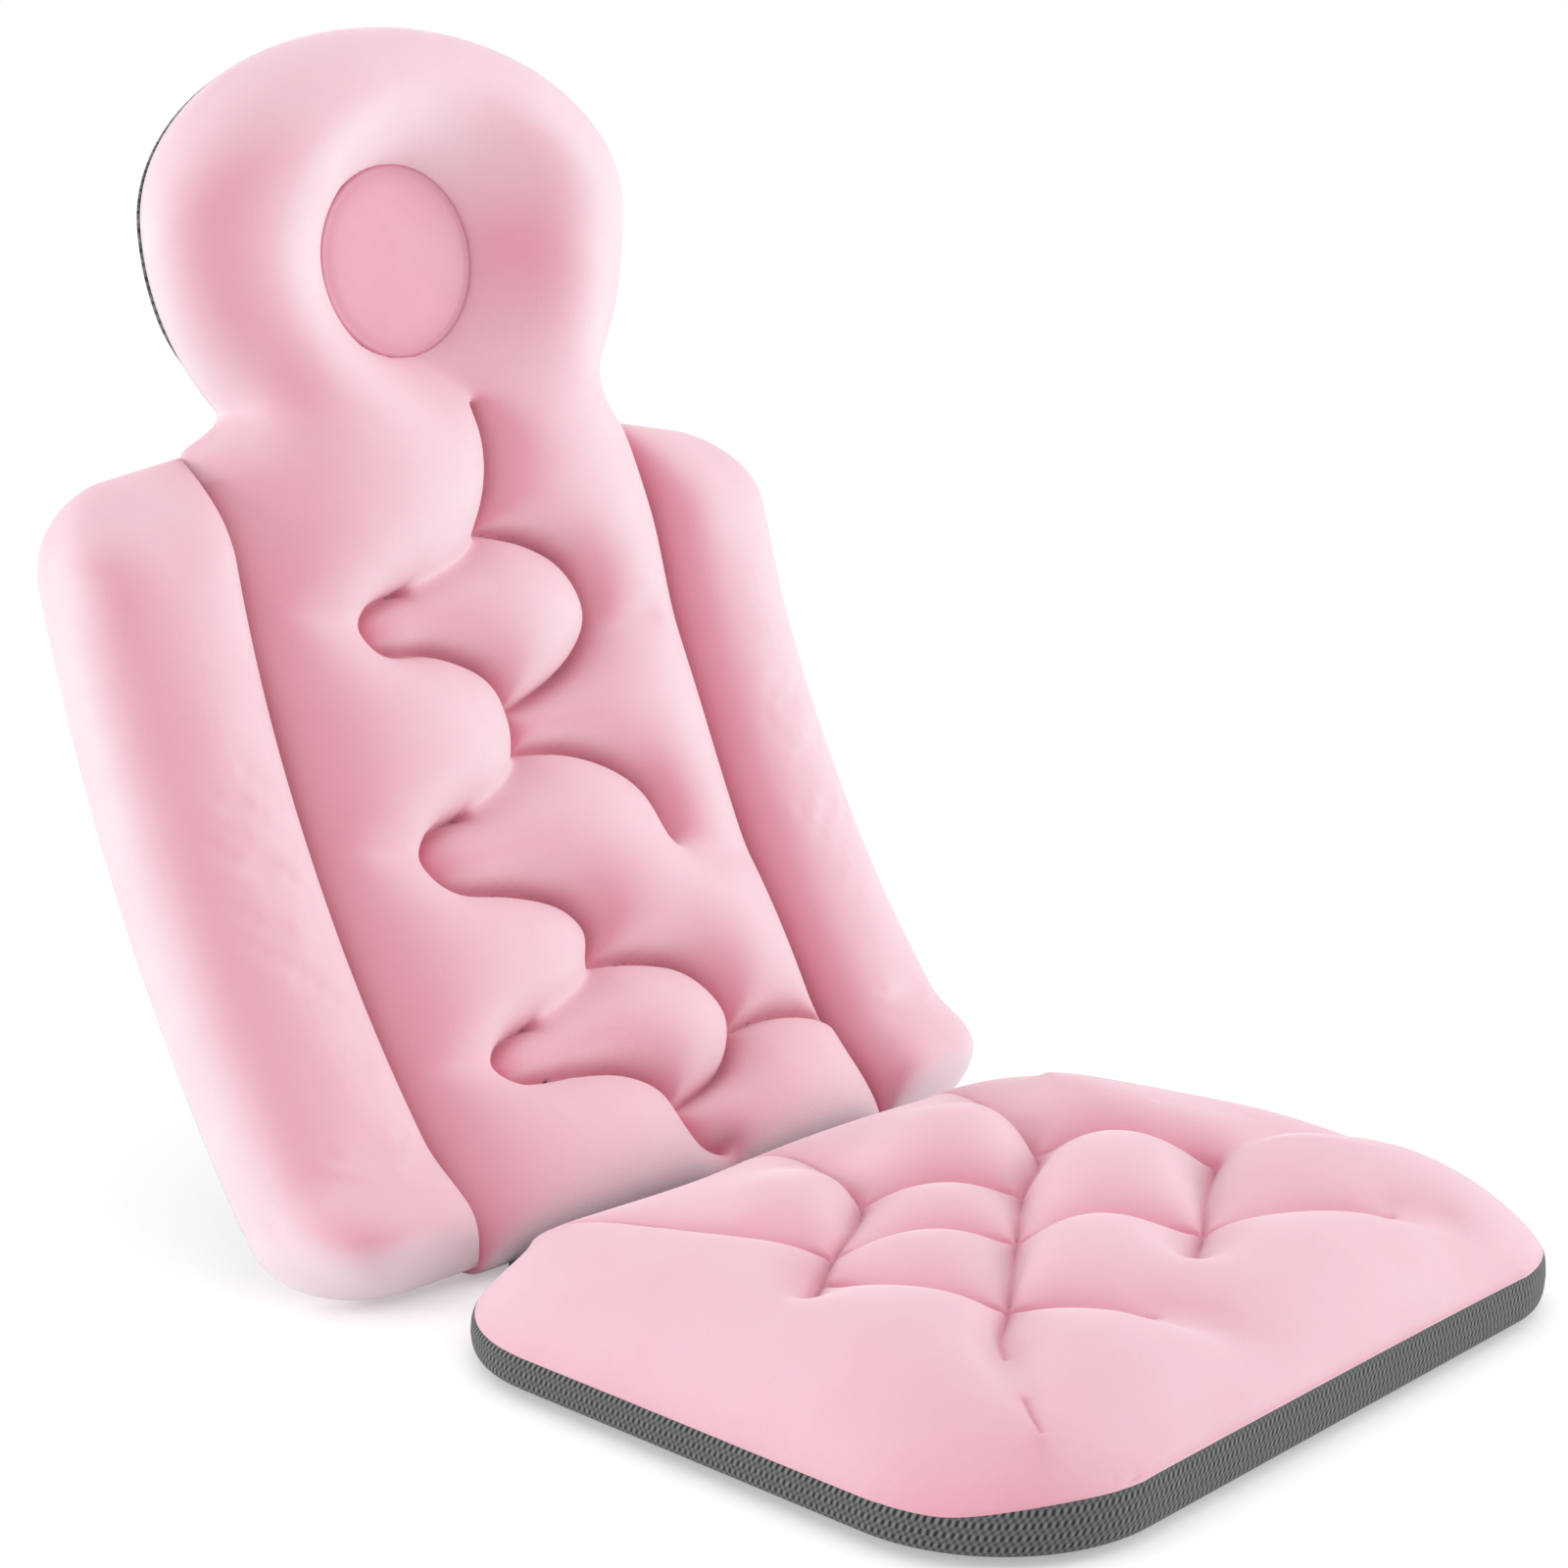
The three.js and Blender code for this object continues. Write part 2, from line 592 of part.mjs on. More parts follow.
function bolsterBody(side, inset, floorDrop) {
  const foot = bolsterFoot + inset;
  const top = shoulderHeight - inset;
  const rows = [
    ...steps(0, 1, 5).map((share) => foot + bolsterFootRadius * share * share),
    ...steps(foot + bolsterFootRadius, top - shoulderRadius, 8).slice(1),
    ...steps(1, 0, 5).slice(1).map((share) => top - shoulderRadius * share * share),
  ];
  const inner = panelHalfWidth + inset;
  return loft(rows.map((up) => {
    const footCorner = roundedHalfWidth(up - foot, backWidth / 2 - inset, bolsterFootRadius);
    const shoulderCorner = roundedHalfWidth(top - up, backWidth / 2 - inset, shoulderRadius);
    const outer = Math.min(footCorner, shoulderCorner);
    const rest = Math.max(bolsterFloor, foldRadius - rollHalf(up));
    const floor = rest - floorDrop;
    const edge = rest + coverEdge;
    const shoulderHigh = edge + (bolsterThickness - edge) * rise(shoulderHeight - up, shoulderRadius);
    const crown = Math.min(shoulderHigh, foldRadius + rollHalf(up)) - inset;
    const place = (across, height) => backPoint(side * across, up + shoulderLift(across, up), height);
    const arch = steps(Math.PI, 0, bolsterSteps).map((angle) => {
      const across = (inner + outer) / 2 + ((outer - inner) / 2) * Math.cos(angle);
      return place(across, edge + (crown - edge) * Math.sqrt(Math.max(Math.sin(angle), 0)));
    });
    const section = [place(inner, floor), ...arch, place(outer, floor)];
    return side > 0 ? section : section.reverse();
  }));
}

for (const [sideName, side] of [['left', -1], ['right', 1]]) {
  const hollow = bolsterBody(side, bolsterCoverThickness, coverEdge + cutOverrun);
  const cover = solidOf(bolsterBody(side, 0, 0)).subtract(solidOf(hollow));
  addPiece(back, `${sideName}_bolster_cover`, geometryOf(cover), plush);
  const filling = bolsterBody(side, bolsterCoverThickness + fillingSlack, 0);
  addPiece(back, `${sideName}_bolster_filling`, filling, fibre);
}

// The part stands centred on its origin
const extent = new THREE.Box3().setFromObject(pillow);
pillow.position.y = -(extent.min.y + extent.max.y) / 2;

export default pillow;
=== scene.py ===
import json
import math

import bmesh
import bpy
import numpy as np
from mathutils import Matrix, Vector


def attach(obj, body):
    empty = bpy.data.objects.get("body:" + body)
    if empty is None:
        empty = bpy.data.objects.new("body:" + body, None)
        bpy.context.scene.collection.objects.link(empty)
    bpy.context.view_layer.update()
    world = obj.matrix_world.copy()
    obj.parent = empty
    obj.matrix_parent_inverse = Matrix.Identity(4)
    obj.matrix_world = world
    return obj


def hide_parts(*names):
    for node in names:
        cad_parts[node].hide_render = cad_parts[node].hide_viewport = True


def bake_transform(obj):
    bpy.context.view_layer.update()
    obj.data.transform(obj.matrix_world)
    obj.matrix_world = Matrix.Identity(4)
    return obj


# Full-body bath pillow in metres, +Z up, the seat's front towards -Y, the fold axis along X.
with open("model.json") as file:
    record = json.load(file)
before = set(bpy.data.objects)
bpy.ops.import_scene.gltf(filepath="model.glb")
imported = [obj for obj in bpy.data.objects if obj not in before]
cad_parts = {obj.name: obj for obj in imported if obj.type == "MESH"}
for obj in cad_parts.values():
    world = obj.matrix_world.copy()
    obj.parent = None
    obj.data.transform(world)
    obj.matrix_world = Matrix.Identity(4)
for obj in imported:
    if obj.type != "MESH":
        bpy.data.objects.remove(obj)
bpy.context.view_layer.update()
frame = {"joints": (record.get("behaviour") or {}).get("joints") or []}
fold_y = frame["joints"][0]["pos_m"][1]
fold_height = frame["joints"][0]["pos_m"][2]

# Seat gusset
# A band of grey spacer mesh, knitted in short staggered ribs, that runs round the seat under the plush.
# It is sewn to the cover along its top and to the base along its bottom, and bulges a little between.
seat_half_width = 0.195
seat_rear = fold_y - 0.049
seat_front = seat_rear - 0.315
seat_corner = 0.070
stand_off = 0.005
gusset_wall = 0.004
gusset_bulge = 0.0012
gusset_squareness = 0.4
gusset_height_rear = 0.013
gusset_height_front = 0.020
gusset_rise = 0.045
gusset_columns = 480
gusset_rows = 32
sewn_gap = 0.00005
rib_pitch = 0.0028
rib_course = 0.0042
mesh_twill = 0.35
mesh_wobble = 0.0012
mesh_lint = 120
mesh_stops = (0.20, 0.80)
mesh_bump = (0.6, 0.0008)
rib_share = 0.45
weave_depth = 0.36
weave_level = 0.5
mesh_grey = (0.200, 0.212, 0.206, 1)
mesh_dark = (0.022, 0.025, 0.024, 1)


def smooth_share(value, low, high):
    """Ease from 0 to 1 between two values."""
    share = np.clip((value - low) / (high - low), 0, 1)
    return share * share * (3 - 2 * share)


def gusset_top(y):
    """Height of the seam between gusset and cover, which rises round the front corners."""
    climb = smooth_share(-y, -seat_front - gusset_rise, -seat_front)
    return stand_off + gusset_height_rear + (gusset_height_front - gusset_height_rear) * climb


def seat_outline(share):
    """Point and outward direction at a share of the way round the seat, from the middle of its rear."""
    straight_x = seat_half_width - seat_corner
    straight_y = (seat_rear - seat_front) / 2 - seat_corner
    quarter = math.pi / 2 * seat_corner
    side = [2 * straight_y, quarter]
    lengths = [straight_x, quarter, *side, 2 * straight_x, quarter, *side, straight_x]
    ends = np.cumsum([0, *lengths])
    travel = share * ends[-1]
    bends = np.interp(travel, ends, np.radians([90, 90, 0, 0, -90, -90, -180, -180, -270, -270]))
    centre_x = np.interp(travel, ends, np.array([0, 1, 1, 1, 1, -1, -1, -1, -1, 0]) * straight_x)
    centre_y = np.interp(travel, ends, np.array([1, 1, 1, -1, -1, -1, -1, 1, 1, 1]) * straight_y)
    outward = np.stack([np.cos(bends), np.sin(bends)], axis=1)
    middle = np.array([0, (seat_rear + seat_front) / 2])
    return middle + np.stack([centre_x, centre_y], axis=1) + seat_corner * outward, outward


def square_off(wave):
    """Square off a round wave, for the gusset's section."""
    return np.sign(wave) * np.abs(wave) ** gusset_squareness


def new_grid(name, columns, rows):
    """A square grid from -1 to 1 both ways, with the spread of its points over it."""
    bpy.ops.object.select_all(action="DESELECT")
    bpy.ops.mesh.primitive_grid_add(x_subdivisions=columns, y_subdivisions=rows, size=2)
    piece = bpy.context.object
    piece.name = name
    piece.data.name = name
    spread = points_of(piece)[:, :2]
    kept = piece.data.attributes.new("spread", "FLOAT2", "POINT")
    kept.data.foreach_set("vector", spread.ravel())
    return piece, spread


def points_of(piece):
    """The points of a mesh as rows of x, y, z."""
    points = np.empty(len(piece.data.vertices) * 3)
    piece.data.vertices.foreach_get("co", points)
    return points.reshape(-1, 3)


def set_points(piece, points):
    """Move the points of a mesh to the given rows of x, y, z."""
    piece.data.vertices.foreach_set("co", np.ascontiguousarray(points).ravel())
    piece.data.update()


def spread_of(piece):
    """The spread that is kept with a grid's points."""
    spread = np.empty(len(piece.data.vertices) * 2)
    piece.data.attributes["spread"].data.foreach_get("vector", spread)
    return spread.reshape(-1, 2)


def set_weave(piece, across, along):
    """Lay the weave's map over a mesh, in metres of cloth for each of its points."""
    corners = np.empty(len(piece.data.loops), dtype=int)
    piece.data.loops.foreach_get("vertex_index", corners)
    laid = np.stack([across, along], axis=1)[corners]
    layer = piece.data.uv_layers.get("weave") or piece.data.uv_layers.new(name="weave")
    layer.data.foreach_set("uv", laid.ravel())


def enter_edit(piece):
    """Open one piece alone in edit mode."""
    bpy.ops.object.select_all(action="DESELECT")
    piece.select_set(True)
    bpy.context.view_layer.objects.active = piece
    bpy.ops.object.mode_set(mode="EDIT")


def edit_all(piece, *steps):
    """Run edit-mode steps on everything in one piece."""
    enter_edit(piece)
    bpy.ops.mesh.select_all(action="SELECT")
    for step, settings in steps:
        step(**settings)
    bpy.ops.object.mode_set(mode="OBJECT")


def merging(distance):
    """Edit step that joins points within a distance."""
    return bpy.ops.mesh.remove_doubles, {"threshold": distance}


def thickening(height):
    """Edit step that draws a sheet up to a thickness."""
    return bpy.ops.mesh.extrude_region_move, {"TRANSFORM_OT_translate": {"value": (0, 0, height)}}


facing_out = (bpy.ops.mesh.normals_make_consistent, {"inside": False})


def finish_piece(piece, material, body, *nodes):
    """Dress a piece, let it ride on its body and hide the solids that it stands for."""
    piece.data.materials.clear()
    piece.data.materials.append(material)
    piece.data.shade_smooth()
    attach(piece, body)
    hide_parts(*nodes)


def new_material(name, settings):
    """A new material with its node tree and its surface, set up by the names of its sockets."""
    material = bpy.data.materials.new(name)
    material.use_nodes = True
    surface = material.node_tree.nodes["Principled BSDF"]
    for socket, value in settings.items():
        surface.inputs[socket].default_value = value
    return material, material.node_tree, surface


def feed(tree, socket, value):
    """Give a socket another node's output, or a plain number or colour."""
    if isinstance(value, bpy.types.NodeSocket):
        tree.links.new(value, socket)
    else:
        socket.default_value = value


def math_node(tree, operation, *values):
    """A Math node, with a socket or a plain number for each value."""
    node = tree.nodes.new("ShaderNodeMath")
    node.operation = operation
    for socket, value in zip(node.inputs, values):
        feed(tree, socket, value)
    return node.outputs[0]


def noise_node(tree, place, scale, detail):
    """Cloudy noise over a place on the piece."""
    noise = tree.nodes.new("ShaderNodeTexNoise")
    noise.inputs["Scale"].default_value = scale
    noise.inputs["Detail"].default_value = detail
    tree.links.new(place, noise.inputs["Vector"])
    return noise.outputs["Fac"]


def add_relief(tree, surface, height, strength, distance):
    """Give a surface fine relief from a height."""
    relief = tree.nodes.new("ShaderNodeBump")
    relief.inputs["Strength"].default_value = strength
    relief.inputs["Distance"].default_value = distance
    tree.links.new(height, relief.inputs["Height"])
    tree.links.new(relief.outputs["Normal"], surface.inputs["Normal"])


def wave_node(tree, place, pitch):
    """A wave of the weave, one for each pitch along a place."""
    turn = math_node(tree, "MULTIPLY", place, 2 * math.pi / pitch)
    return math_node(tree, "COSINE", turn)


def ribbed_mesh_material(name):
    """Grey spacer mesh: staggered short ribs with dark gaps between, and lint-like changes of tone."""
    settings = {
        "Roughness": 0.85,
        "Specular IOR Level": 0.25,
        "Sheen Weight": 0.15,
        "Sheen Roughness": 0.5,
    }
    material, tree, surface = new_material(name, settings)
    weave = tree.nodes.new("ShaderNodeUVMap")
    weave.uv_map = "weave"
    apart = tree.nodes.new("ShaderNodeSeparateXYZ")
    tree.links.new(weave.outputs["UV"], apart.inputs["Vector"])
    wobble = noise_node(tree, weave.outputs["UV"], mesh_lint, detail=2)
    shift = math_node(tree, "MULTIPLY", wobble, mesh_wobble)
    twill = math_node(tree, "MULTIPLY_ADD", apart.outputs["Y"], mesh_twill, shift)
    across = math_node(tree, "ADD", apart.outputs["X"], twill)
    ribs = wave_node(tree, across, rib_pitch)
    courses = wave_node(tree, apart.outputs["Y"], rib_course)
    stagger = math_node(tree, "MULTIPLY", ribs, courses)
    mixed = math_node(tree, "MULTIPLY_ADD", ribs, rib_share, stagger)
    height = math_node(tree, "MULTIPLY_ADD", mixed, weave_depth, weave_level)
    tone = tree.nodes.new("ShaderNodeValToRGB")
    for stop, position, colour in zip(tone.color_ramp.elements, mesh_stops, (mesh_dark, mesh_grey)):
        stop.position = position
        stop.color = colour
    tree.links.new(height, tone.inputs["Fac"])
    tree.links.new(tone.outputs["Color"], surface.inputs["Base Color"])
    add_relief(tree, surface, height, *mesh_bump)
    return material


grey_mesh = ribbed_mesh_material("grey_spacer_mesh")
gusset, spread = new_grid("seat_gusset", gusset_columns, gusset_rows)
round_share = (spread[:, 0] + 1) / 2
turn = spread[:, 1] * math.pi
edge, outward = seat_outline(round_share)
half_height = (gusset_top(edge[:, 1]) - stand_off) / 2
sideways = square_off(np.cos(turn))
upwards = square_off(np.sin(turn))
depth = gusset_wall / 2 * (sideways - 1) + gusset_bulge * np.maximum(sideways, 0) * (1 - upwards**2)
gusset_points = np.column_stack([edge + depth[:, None] * outward, stand_off + half_height * (1 + upwards)])
set_points(gusset, gusset_points)
straight_length = 4 * (seat_half_width - seat_corner) + 2 * (seat_rear - seat_front - 2 * seat_corner)
perimeter = 2 * math.pi * seat_corner + straight_length
set_weave(gusset, round_share * perimeter, gusset_points[:, 2])
edit_all(gusset, merging(sewn_gap), facing_out)
finish_piece(gusset, grey_mesh, "seat", "seat_mesh_gusset")

# Seat base
# The sheet of the same spacer mesh that closes the seat underneath, between the walls of the gusset.
# It sags a little between the suction cups that hold it off the tub.
base_thickness = 0.006
base_sag = 0.0012
base_inset = gusset_wall + 0.0003
base_flatness = 6
base_columns = 90
base_rows = 74


def rounded_half_width(from_end, half_width, radius):
    """Half width of a shape near a rounded end."""
    cut = np.clip(radius - from_end, 0, radius)
    return half_width - radius + np.sqrt(np.maximum(radius**2 - cut**2, 0))


def seat_half_width_at(y, inset=0):
    """Half the seat's width at a place along it, with its rounded corners."""
    from_end = np.minimum(y - seat_front, seat_rear - y) - inset
    return rounded_half_width(from_end, seat_half_width - inset, seat_corner - inset)


def crowd(share):
    """Move rows from -1 to 1 closer together towards both ends."""
    return np.sin(share * math.pi / 2)


base, spread = new_grid("seat_base", base_columns, base_rows)
middle_y = (seat_rear + seat_front) / 2
half_length = (seat_rear - seat_front) / 2 - base_inset
base_y = middle_y - half_length * crowd(spread[:, 1])
base_x = spread[:, 0] * seat_half_width_at(base_y, base_inset)
inner = (1 - spread[:, 0] ** 2) * (1 - spread[:, 1] ** 2)
base_z = stand_off + base_sag * (1 - np.minimum(inner * base_flatness, 1))
set_points(base, np.column_stack([base_x, base_y, base_z]))
set_weave(base, base_x, base_y)
edit_all(base, merging(sewn_gap), thickening(base_thickness - base_sag))
edit_all(base, facing_out)
finish_piece(base, grey_mesh, "seat", "seat_mesh_base")

# Seat cover
# Short-pile pink plush over wadding, quilted by curved stitch lines that pull it into soft puffs.
# Its edge rolls down to the gusset, where it is sewn on with a turned hem.
seat_crown = 0.056
seat_crease_depth = 0.013
seat_roll = 0.065
seat_plumpness = 0.72
seat_rear_plumpness = 0.33
seat_front_plumpness = 0.50
seat_rim = 0.060
seat_middle = 0.115
seat_dome = 0.6
dome_size = 0.025
seat_columns = 400
seat_rows = 326
seat_row_reach = 0.9995
blank_columns = 90
blank_rows = 74
blank_frames = 20
hair = 1e-5
rear_puffs_end = 0.16
front_puffs_start = 0.27
seat_rim_rings = 9
seat_rim_smoothing = 6
seat_stretch = 0.002
wadding_pressure = 4
outline_points = 1600
map_pitch = 0.0015
margin = 0.006
tight = (200, 0.0013)
soft = (0.4, 0.004)
fading = (1, 0.006)
loose = (0.05, 0.006)
edge_width = 0.0006
snap_reach = 0.0007
stitch_hold = 0.003
stitches_each = 32
relax_rounds = 1600
hem_drop = 0.003
hem_shadow = 0.004
nick_depth = 0.003
nick_width = 0.0015
# Painted shade: the plush's colour is darkened towards its deep tone in a band along each seam and hem,
# where shade falls.
painted_shade_share = 0.42
painted_shade_reach = 0.014
seam_shade_reach = 0.004
seam_shade_tint = 0.9
mottle_scale = 38
mottle_tint = 0.25
mottle_floor = -0.08
plush_sheen = 0.6
pile_scale = 900
pile_bump = (0.25, 0.0005)
# Painted sheen: how sharply the plush's colour pales aslant, and how much less it pales where it faces up.
pile_sheen = 4
upward_sheen_cut = 0.65
knot_reach = 0.018
between_knots = 0.3
# Knots and stitch lines in millimetres, across and along from the fold, with minus towards the front.
seat_knots = [
    (-93, -188), (-42, -157), (-31, -229), (13, -197), (57, -169), (27, -277), (-88, -271),
    (-116, -203), (96, -235),
]
seat_stitches = [
    ([(-128, -56), (-122, -95), (-108, -145), (-93, -188)], tight),
    ([(-93, -188), (-58, -202), (-31, -229)], tight),
    ([(-31, -229), (1, -247), (27, -277)], tight),
    ([(27, -277), (50, -286), (75, -300), (98, -320)], tight),
    ([(98, -320), (112, -336)], fading),
    ([(-42, -157), (-11, -171), (13, -197)], tight),
    ([(57, -169), (83, -195), (96, -235)], tight),
    ([(96, -235), (135, -250), (165, -280)], loose),
    ([(-116, -203), (-104, -236), (-88, -271), (-70, -294), (-55, -314)], tight),
    ([(-55, -314), (-45, -330)], fading),
    ([(-12, -52), (-17, -100), (-42, -157), (-93, -188), (-116, -203), (-135, -214)], tight),
    (
        [
            (112, -60), (98, -100), (57, -169), (13, -197), (-31, -229), (-88, -271), (-112, -287),
            (-124, -299),
        ],
        tight,
    ),
    ([(-124, -299), (-135, -312), (-143, -323)], fading),
    ([(-143, -323), (-149, -331), (-153, -338)], tight),
    ([(96, -235), (62, -254), (27, -277), (-10, -298)], tight),
]


def stitch_line(points):
    """Closely spaced places in metres along a smooth line of stitches given in millimetres."""
    knots = np.array([points[0], *points, points[-1]]) / 1000
    share = np.linspace(0, 1, stitches_each, endpoint=False)[:, None]
    spans = []
    for before, start, end, after in zip(knots, knots[1:], knots[2:], knots[3:]):
        slope = (end - before) * share
        bend = (2 * before - 5 * start + 4 * end - after) * share**2
        twist = (3 * start - before - 3 * end + after) * share**3
        spans.append(start + (slope + bend + twist) / 2)
    return np.vstack([*spans, knots[-1:]])


def fade(distance, width):
    """Fade from 1 to 0 with the distance from a seam or a knot."""
    return np.exp(-((distance / width) ** 2))


def distance_to(line, places):
    """Distance from each place to a line of stitches."""
    across, along = np.ascontiguousarray(places.T)
    best = np.full(len(places), np.inf)
    for stitch_across, stitch_along in line:
        np.minimum(best, (across - stitch_across) ** 2 + (along - stitch_along) ** 2, out=best)
    return np.sqrt(best)


def nearest_on(line, places):
    """The nearest place on a line of stitches for each place."""
    choice = np.empty(len(places), dtype=int)
    batch = 4000
    for start in range(0, len(places), batch):
        gap = places[start : start + batch, None, :] - line[None, :, :]
        choice[start : start + batch] = np.argmin((gap**2).sum(axis=2), axis=1)
    return line[choice]


def relief_map(low, high, stitches, outline, inside, seam_level, crease_level):
    """An even map of a quilted cloth: the film through its seams, and the puffs that swell off it."""
    across = np.arange(low[0], high[0] + map_pitch, map_pitch)
    along = np.arange(low[1], high[1] + map_pitch, map_pitch)
    places = np.stack(np.meshgrid(across, along), axis=-1).reshape(-1, 2)
    firm = tight[0]
    grip = np.where(inside(places), firm * fade(distance_to(outline, places), edge_width), firm)
    level = seam_level(places)
    for points, (strength, width) in stitches:
        pull = strength * fade(distance_to(stitch_line(points), places), width)
        level = np.where(inside(places) & (pull > grip), crease_level(places), level)
        grip = np.maximum(grip, pull)
    shape = (len(along), len(across))
    film = relax(grip.reshape(shape), level.reshape(shape), 0)
    puff = relax(grip.reshape(shape), np.zeros(shape), 1)
    return across, along, film, puff


def relax(grip, level, push):
    """Let a cloth settle that is gripped at its level in places and pushed up everywhere."""
    grip = grip.astype(np.float32)
    height = level.astype(np.float32)
    fixed = grip * height + np.float32(push * map_pitch**2)
    for _ in range(relax_rounds):
        wide = np.pad(height, 1, mode="edge")
        around = wide[:-2, 1:-1] + wide[2:, 1:-1] + wide[1:-1, :-2] + wide[1:-1, 2:]
        height = (around + fixed) / (4 + grip)
    return height


def between(table, column, row):
    """Values of an even table between its columns and rows."""
    column = np.clip(column, 0, table.shape[1] - 1.001)
    row = np.clip(row, 0, table.shape[0] - 1.001)
    left, low = column.astype(int), row.astype(int)
    one_each = (-1,) + (1,) * (table.ndim - 2)
    right_share = (column - left).reshape(one_each)
    high_share = (row - low).reshape(one_each)
    lower = table[low, left] * (1 - right_share) + table[low, left + 1] * right_share
    upper = table[low + 1, left] * (1 - right_share) + table[low + 1, left + 1] * right_share
    return lower * (1 - high_share) + upper * high_share


def read_map(relief, places, plumpness, dome=0):
    """Height of a quilted cloth at each place, for its plumpness and how domed its puffs are."""
    across, along, film, puff = relief
    column = (places[:, 0] - across[0]) / map_pitch
    row = (places[:, 1] - along[0]) / map_pitch
    swell = np.sqrt(2 * np.maximum(between(puff, column, row), 0))
    return between(film, column, row) + plumpness * swell * (swell / dome_size) ** dome


def inside_seat(places):
    """Whether each place lies on the seat."""
    return np.abs(places[:, 0]) < seat_half_width_at(places[:, 1] + fold_y)


def seat_seam_level(places):
    """Height of the cover's seam at the gusset."""
    return gusset_top(places[:, 1] + fold_y)


def seat_edge_distance(places):
    """How far each place lies from the seat's edge."""
    along = places[:, 1] + fold_y
    from_side = seat_half_width_at(along) - np.abs(places[:, 0])
    return np.minimum(from_side, np.minimum(along - seat_front, seat_rear - along))


def seat_crease_level(places):
    """Height of the quilting seams, which run down with the cover's rolled edge."""
    share = np.clip(seat_edge_distance(places) / seat_roll, 0, 1)
    seam = seat_seam_level(places)
    top = stand_off + seat_crown - seat_crease_depth
    return seam + (top - seam) * np.sqrt(1 - (1 - share) ** 2)


def seat_plumpness_at(places):
    """How far the seat's wadding swells: fullest in the middle, less in the large puffs round it."""
    forward = smooth_share(-places[:, 1], rear_puffs_end, front_puffs_start)
    rim = seat_rear_plumpness + (seat_front_plumpness - seat_rear_plumpness) * forward
    return rim + (seat_plumpness - rim) * smooth_share(seat_edge_distance(places), seat_rim, seat_middle)


def knot_pull(places):
    """How deep the seams pull at each place: fully at a knot, where they cross, and less between."""
    near_knot = fade(distance_to(np.array(seat_knots) / 1000, places), knot_reach)
    return between_knots + (1 - between_knots) * near_knot


def seat_places(spread):
    """Where each point of the cover's grid lies on the seat, from the fold axis."""
    inner = np.clip(spread * [1 + 2 / seat_columns, 1 + 2 / seat_rows], -1, 1)
    half_length = (seat_rear - seat_front) / 2
    along = middle_y + half_length * crowd(inner[:, 1]) * seat_row_reach
    across = inner[:, 0] * seat_half_width_at(along)
    return np.column_stack([across, along - fold_y])


def snap(places, stitches):
    """Slide the places that lie close to a seam onto it, so that the seam runs clean."""
    nearest = np.full(len(places), snap_reach)
    snapped = places.copy()
    for points, pull in stitches:
        if pull != tight:
            continue
        line = stitch_line(points)
        distance = distance_to(line, places)
        closer = distance < nearest
        nearest[closer] = distance[closer]
        snapped[closer] = nearest_on(line, places[closer])
    return snapped


def mix_tones(tree, first, second, share):
    """Mix two tones by a share of the second."""
    mix = tree.nodes.new("ShaderNodeMix")
    mix.data_type = "RGBA"
    feed(tree, mix.inputs["A"], first)
    feed(tree, mix.inputs["B"], second)
    tree.links.new(share, mix.inputs["Factor"])
    return mix.outputs["Result"]


def pile_slant(tree, normal):
    """Share of the painted sheen in the plush's colour: more where it is seen aslant, less where the
    surface looks upward.
    """
    slant = tree.nodes.new("ShaderNodeLayerWeight")
    head_on = math_node(tree, "SUBTRACT", 1, slant.outputs["Facing"])
    aslant = math_node(tree, "SUBTRACT", 1, math_node(tree, "POWER", head_on, pile_sheen))
    facing = tree.nodes.new("ShaderNodeSeparateXYZ")
    tree.links.new(normal, facing.inputs["Vector"])
    upward = math_node(tree, "MAXIMUM", facing.outputs["Z"], 0)
    upright = math_node(tree, "MULTIPLY_ADD", upward, -upward_sheen_cut, 1)
    return math_node(tree, "MULTIPLY", aslant, upright)


def plush_material(name, pale, colour, deep, sheen):
    """Short-pile plush: full colour where it is looked into, a painted sheen that turns it pale aslant,
    painted shade that deepens it in its seams, and a mottle.
    """
    settings = {
        "Roughness": 0.95,
        "Specular IOR Level": 0.1,
        "Sheen Weight": sheen,
        "Sheen Roughness": 0.5,
        "Sheen Tint": (1, 0.95, 0.965, 1),
    }
    material, tree, surface = new_material(name, settings)
    place = tree.nodes.new("ShaderNodeTexCoord")
    mottle = noise_node(tree, place.outputs["Object"], mottle_scale, detail=6)
    worn = math_node(tree, "MULTIPLY_ADD", mottle, mottle_tint, mottle_floor)
    hollow = tree.nodes.new("ShaderNodeAttribute")
    hollow.attribute_name = "hollow"
    # Painted shade from the seams, together with the random mottle, pulls the colour towards the deep tone.
    depth = math_node(tree, "MULTIPLY_ADD", hollow.outputs["Fac"], seam_shade_tint, worn)
    # Painted sheen: the colour turns pale where the surface is seen aslant.
    painted_sheen_tone = mix_tones(tree, colour, pale, pile_slant(tree, place.outputs["Normal"]))
    tree.links.new(mix_tones(tree, painted_sheen_tone, deep, depth), surface.inputs["Base Color"])
    pile = noise_node(tree, place.outputs["Object"], pile_scale, detail=3)
    add_relief(tree, surface, pile, *pile_bump)
    return material


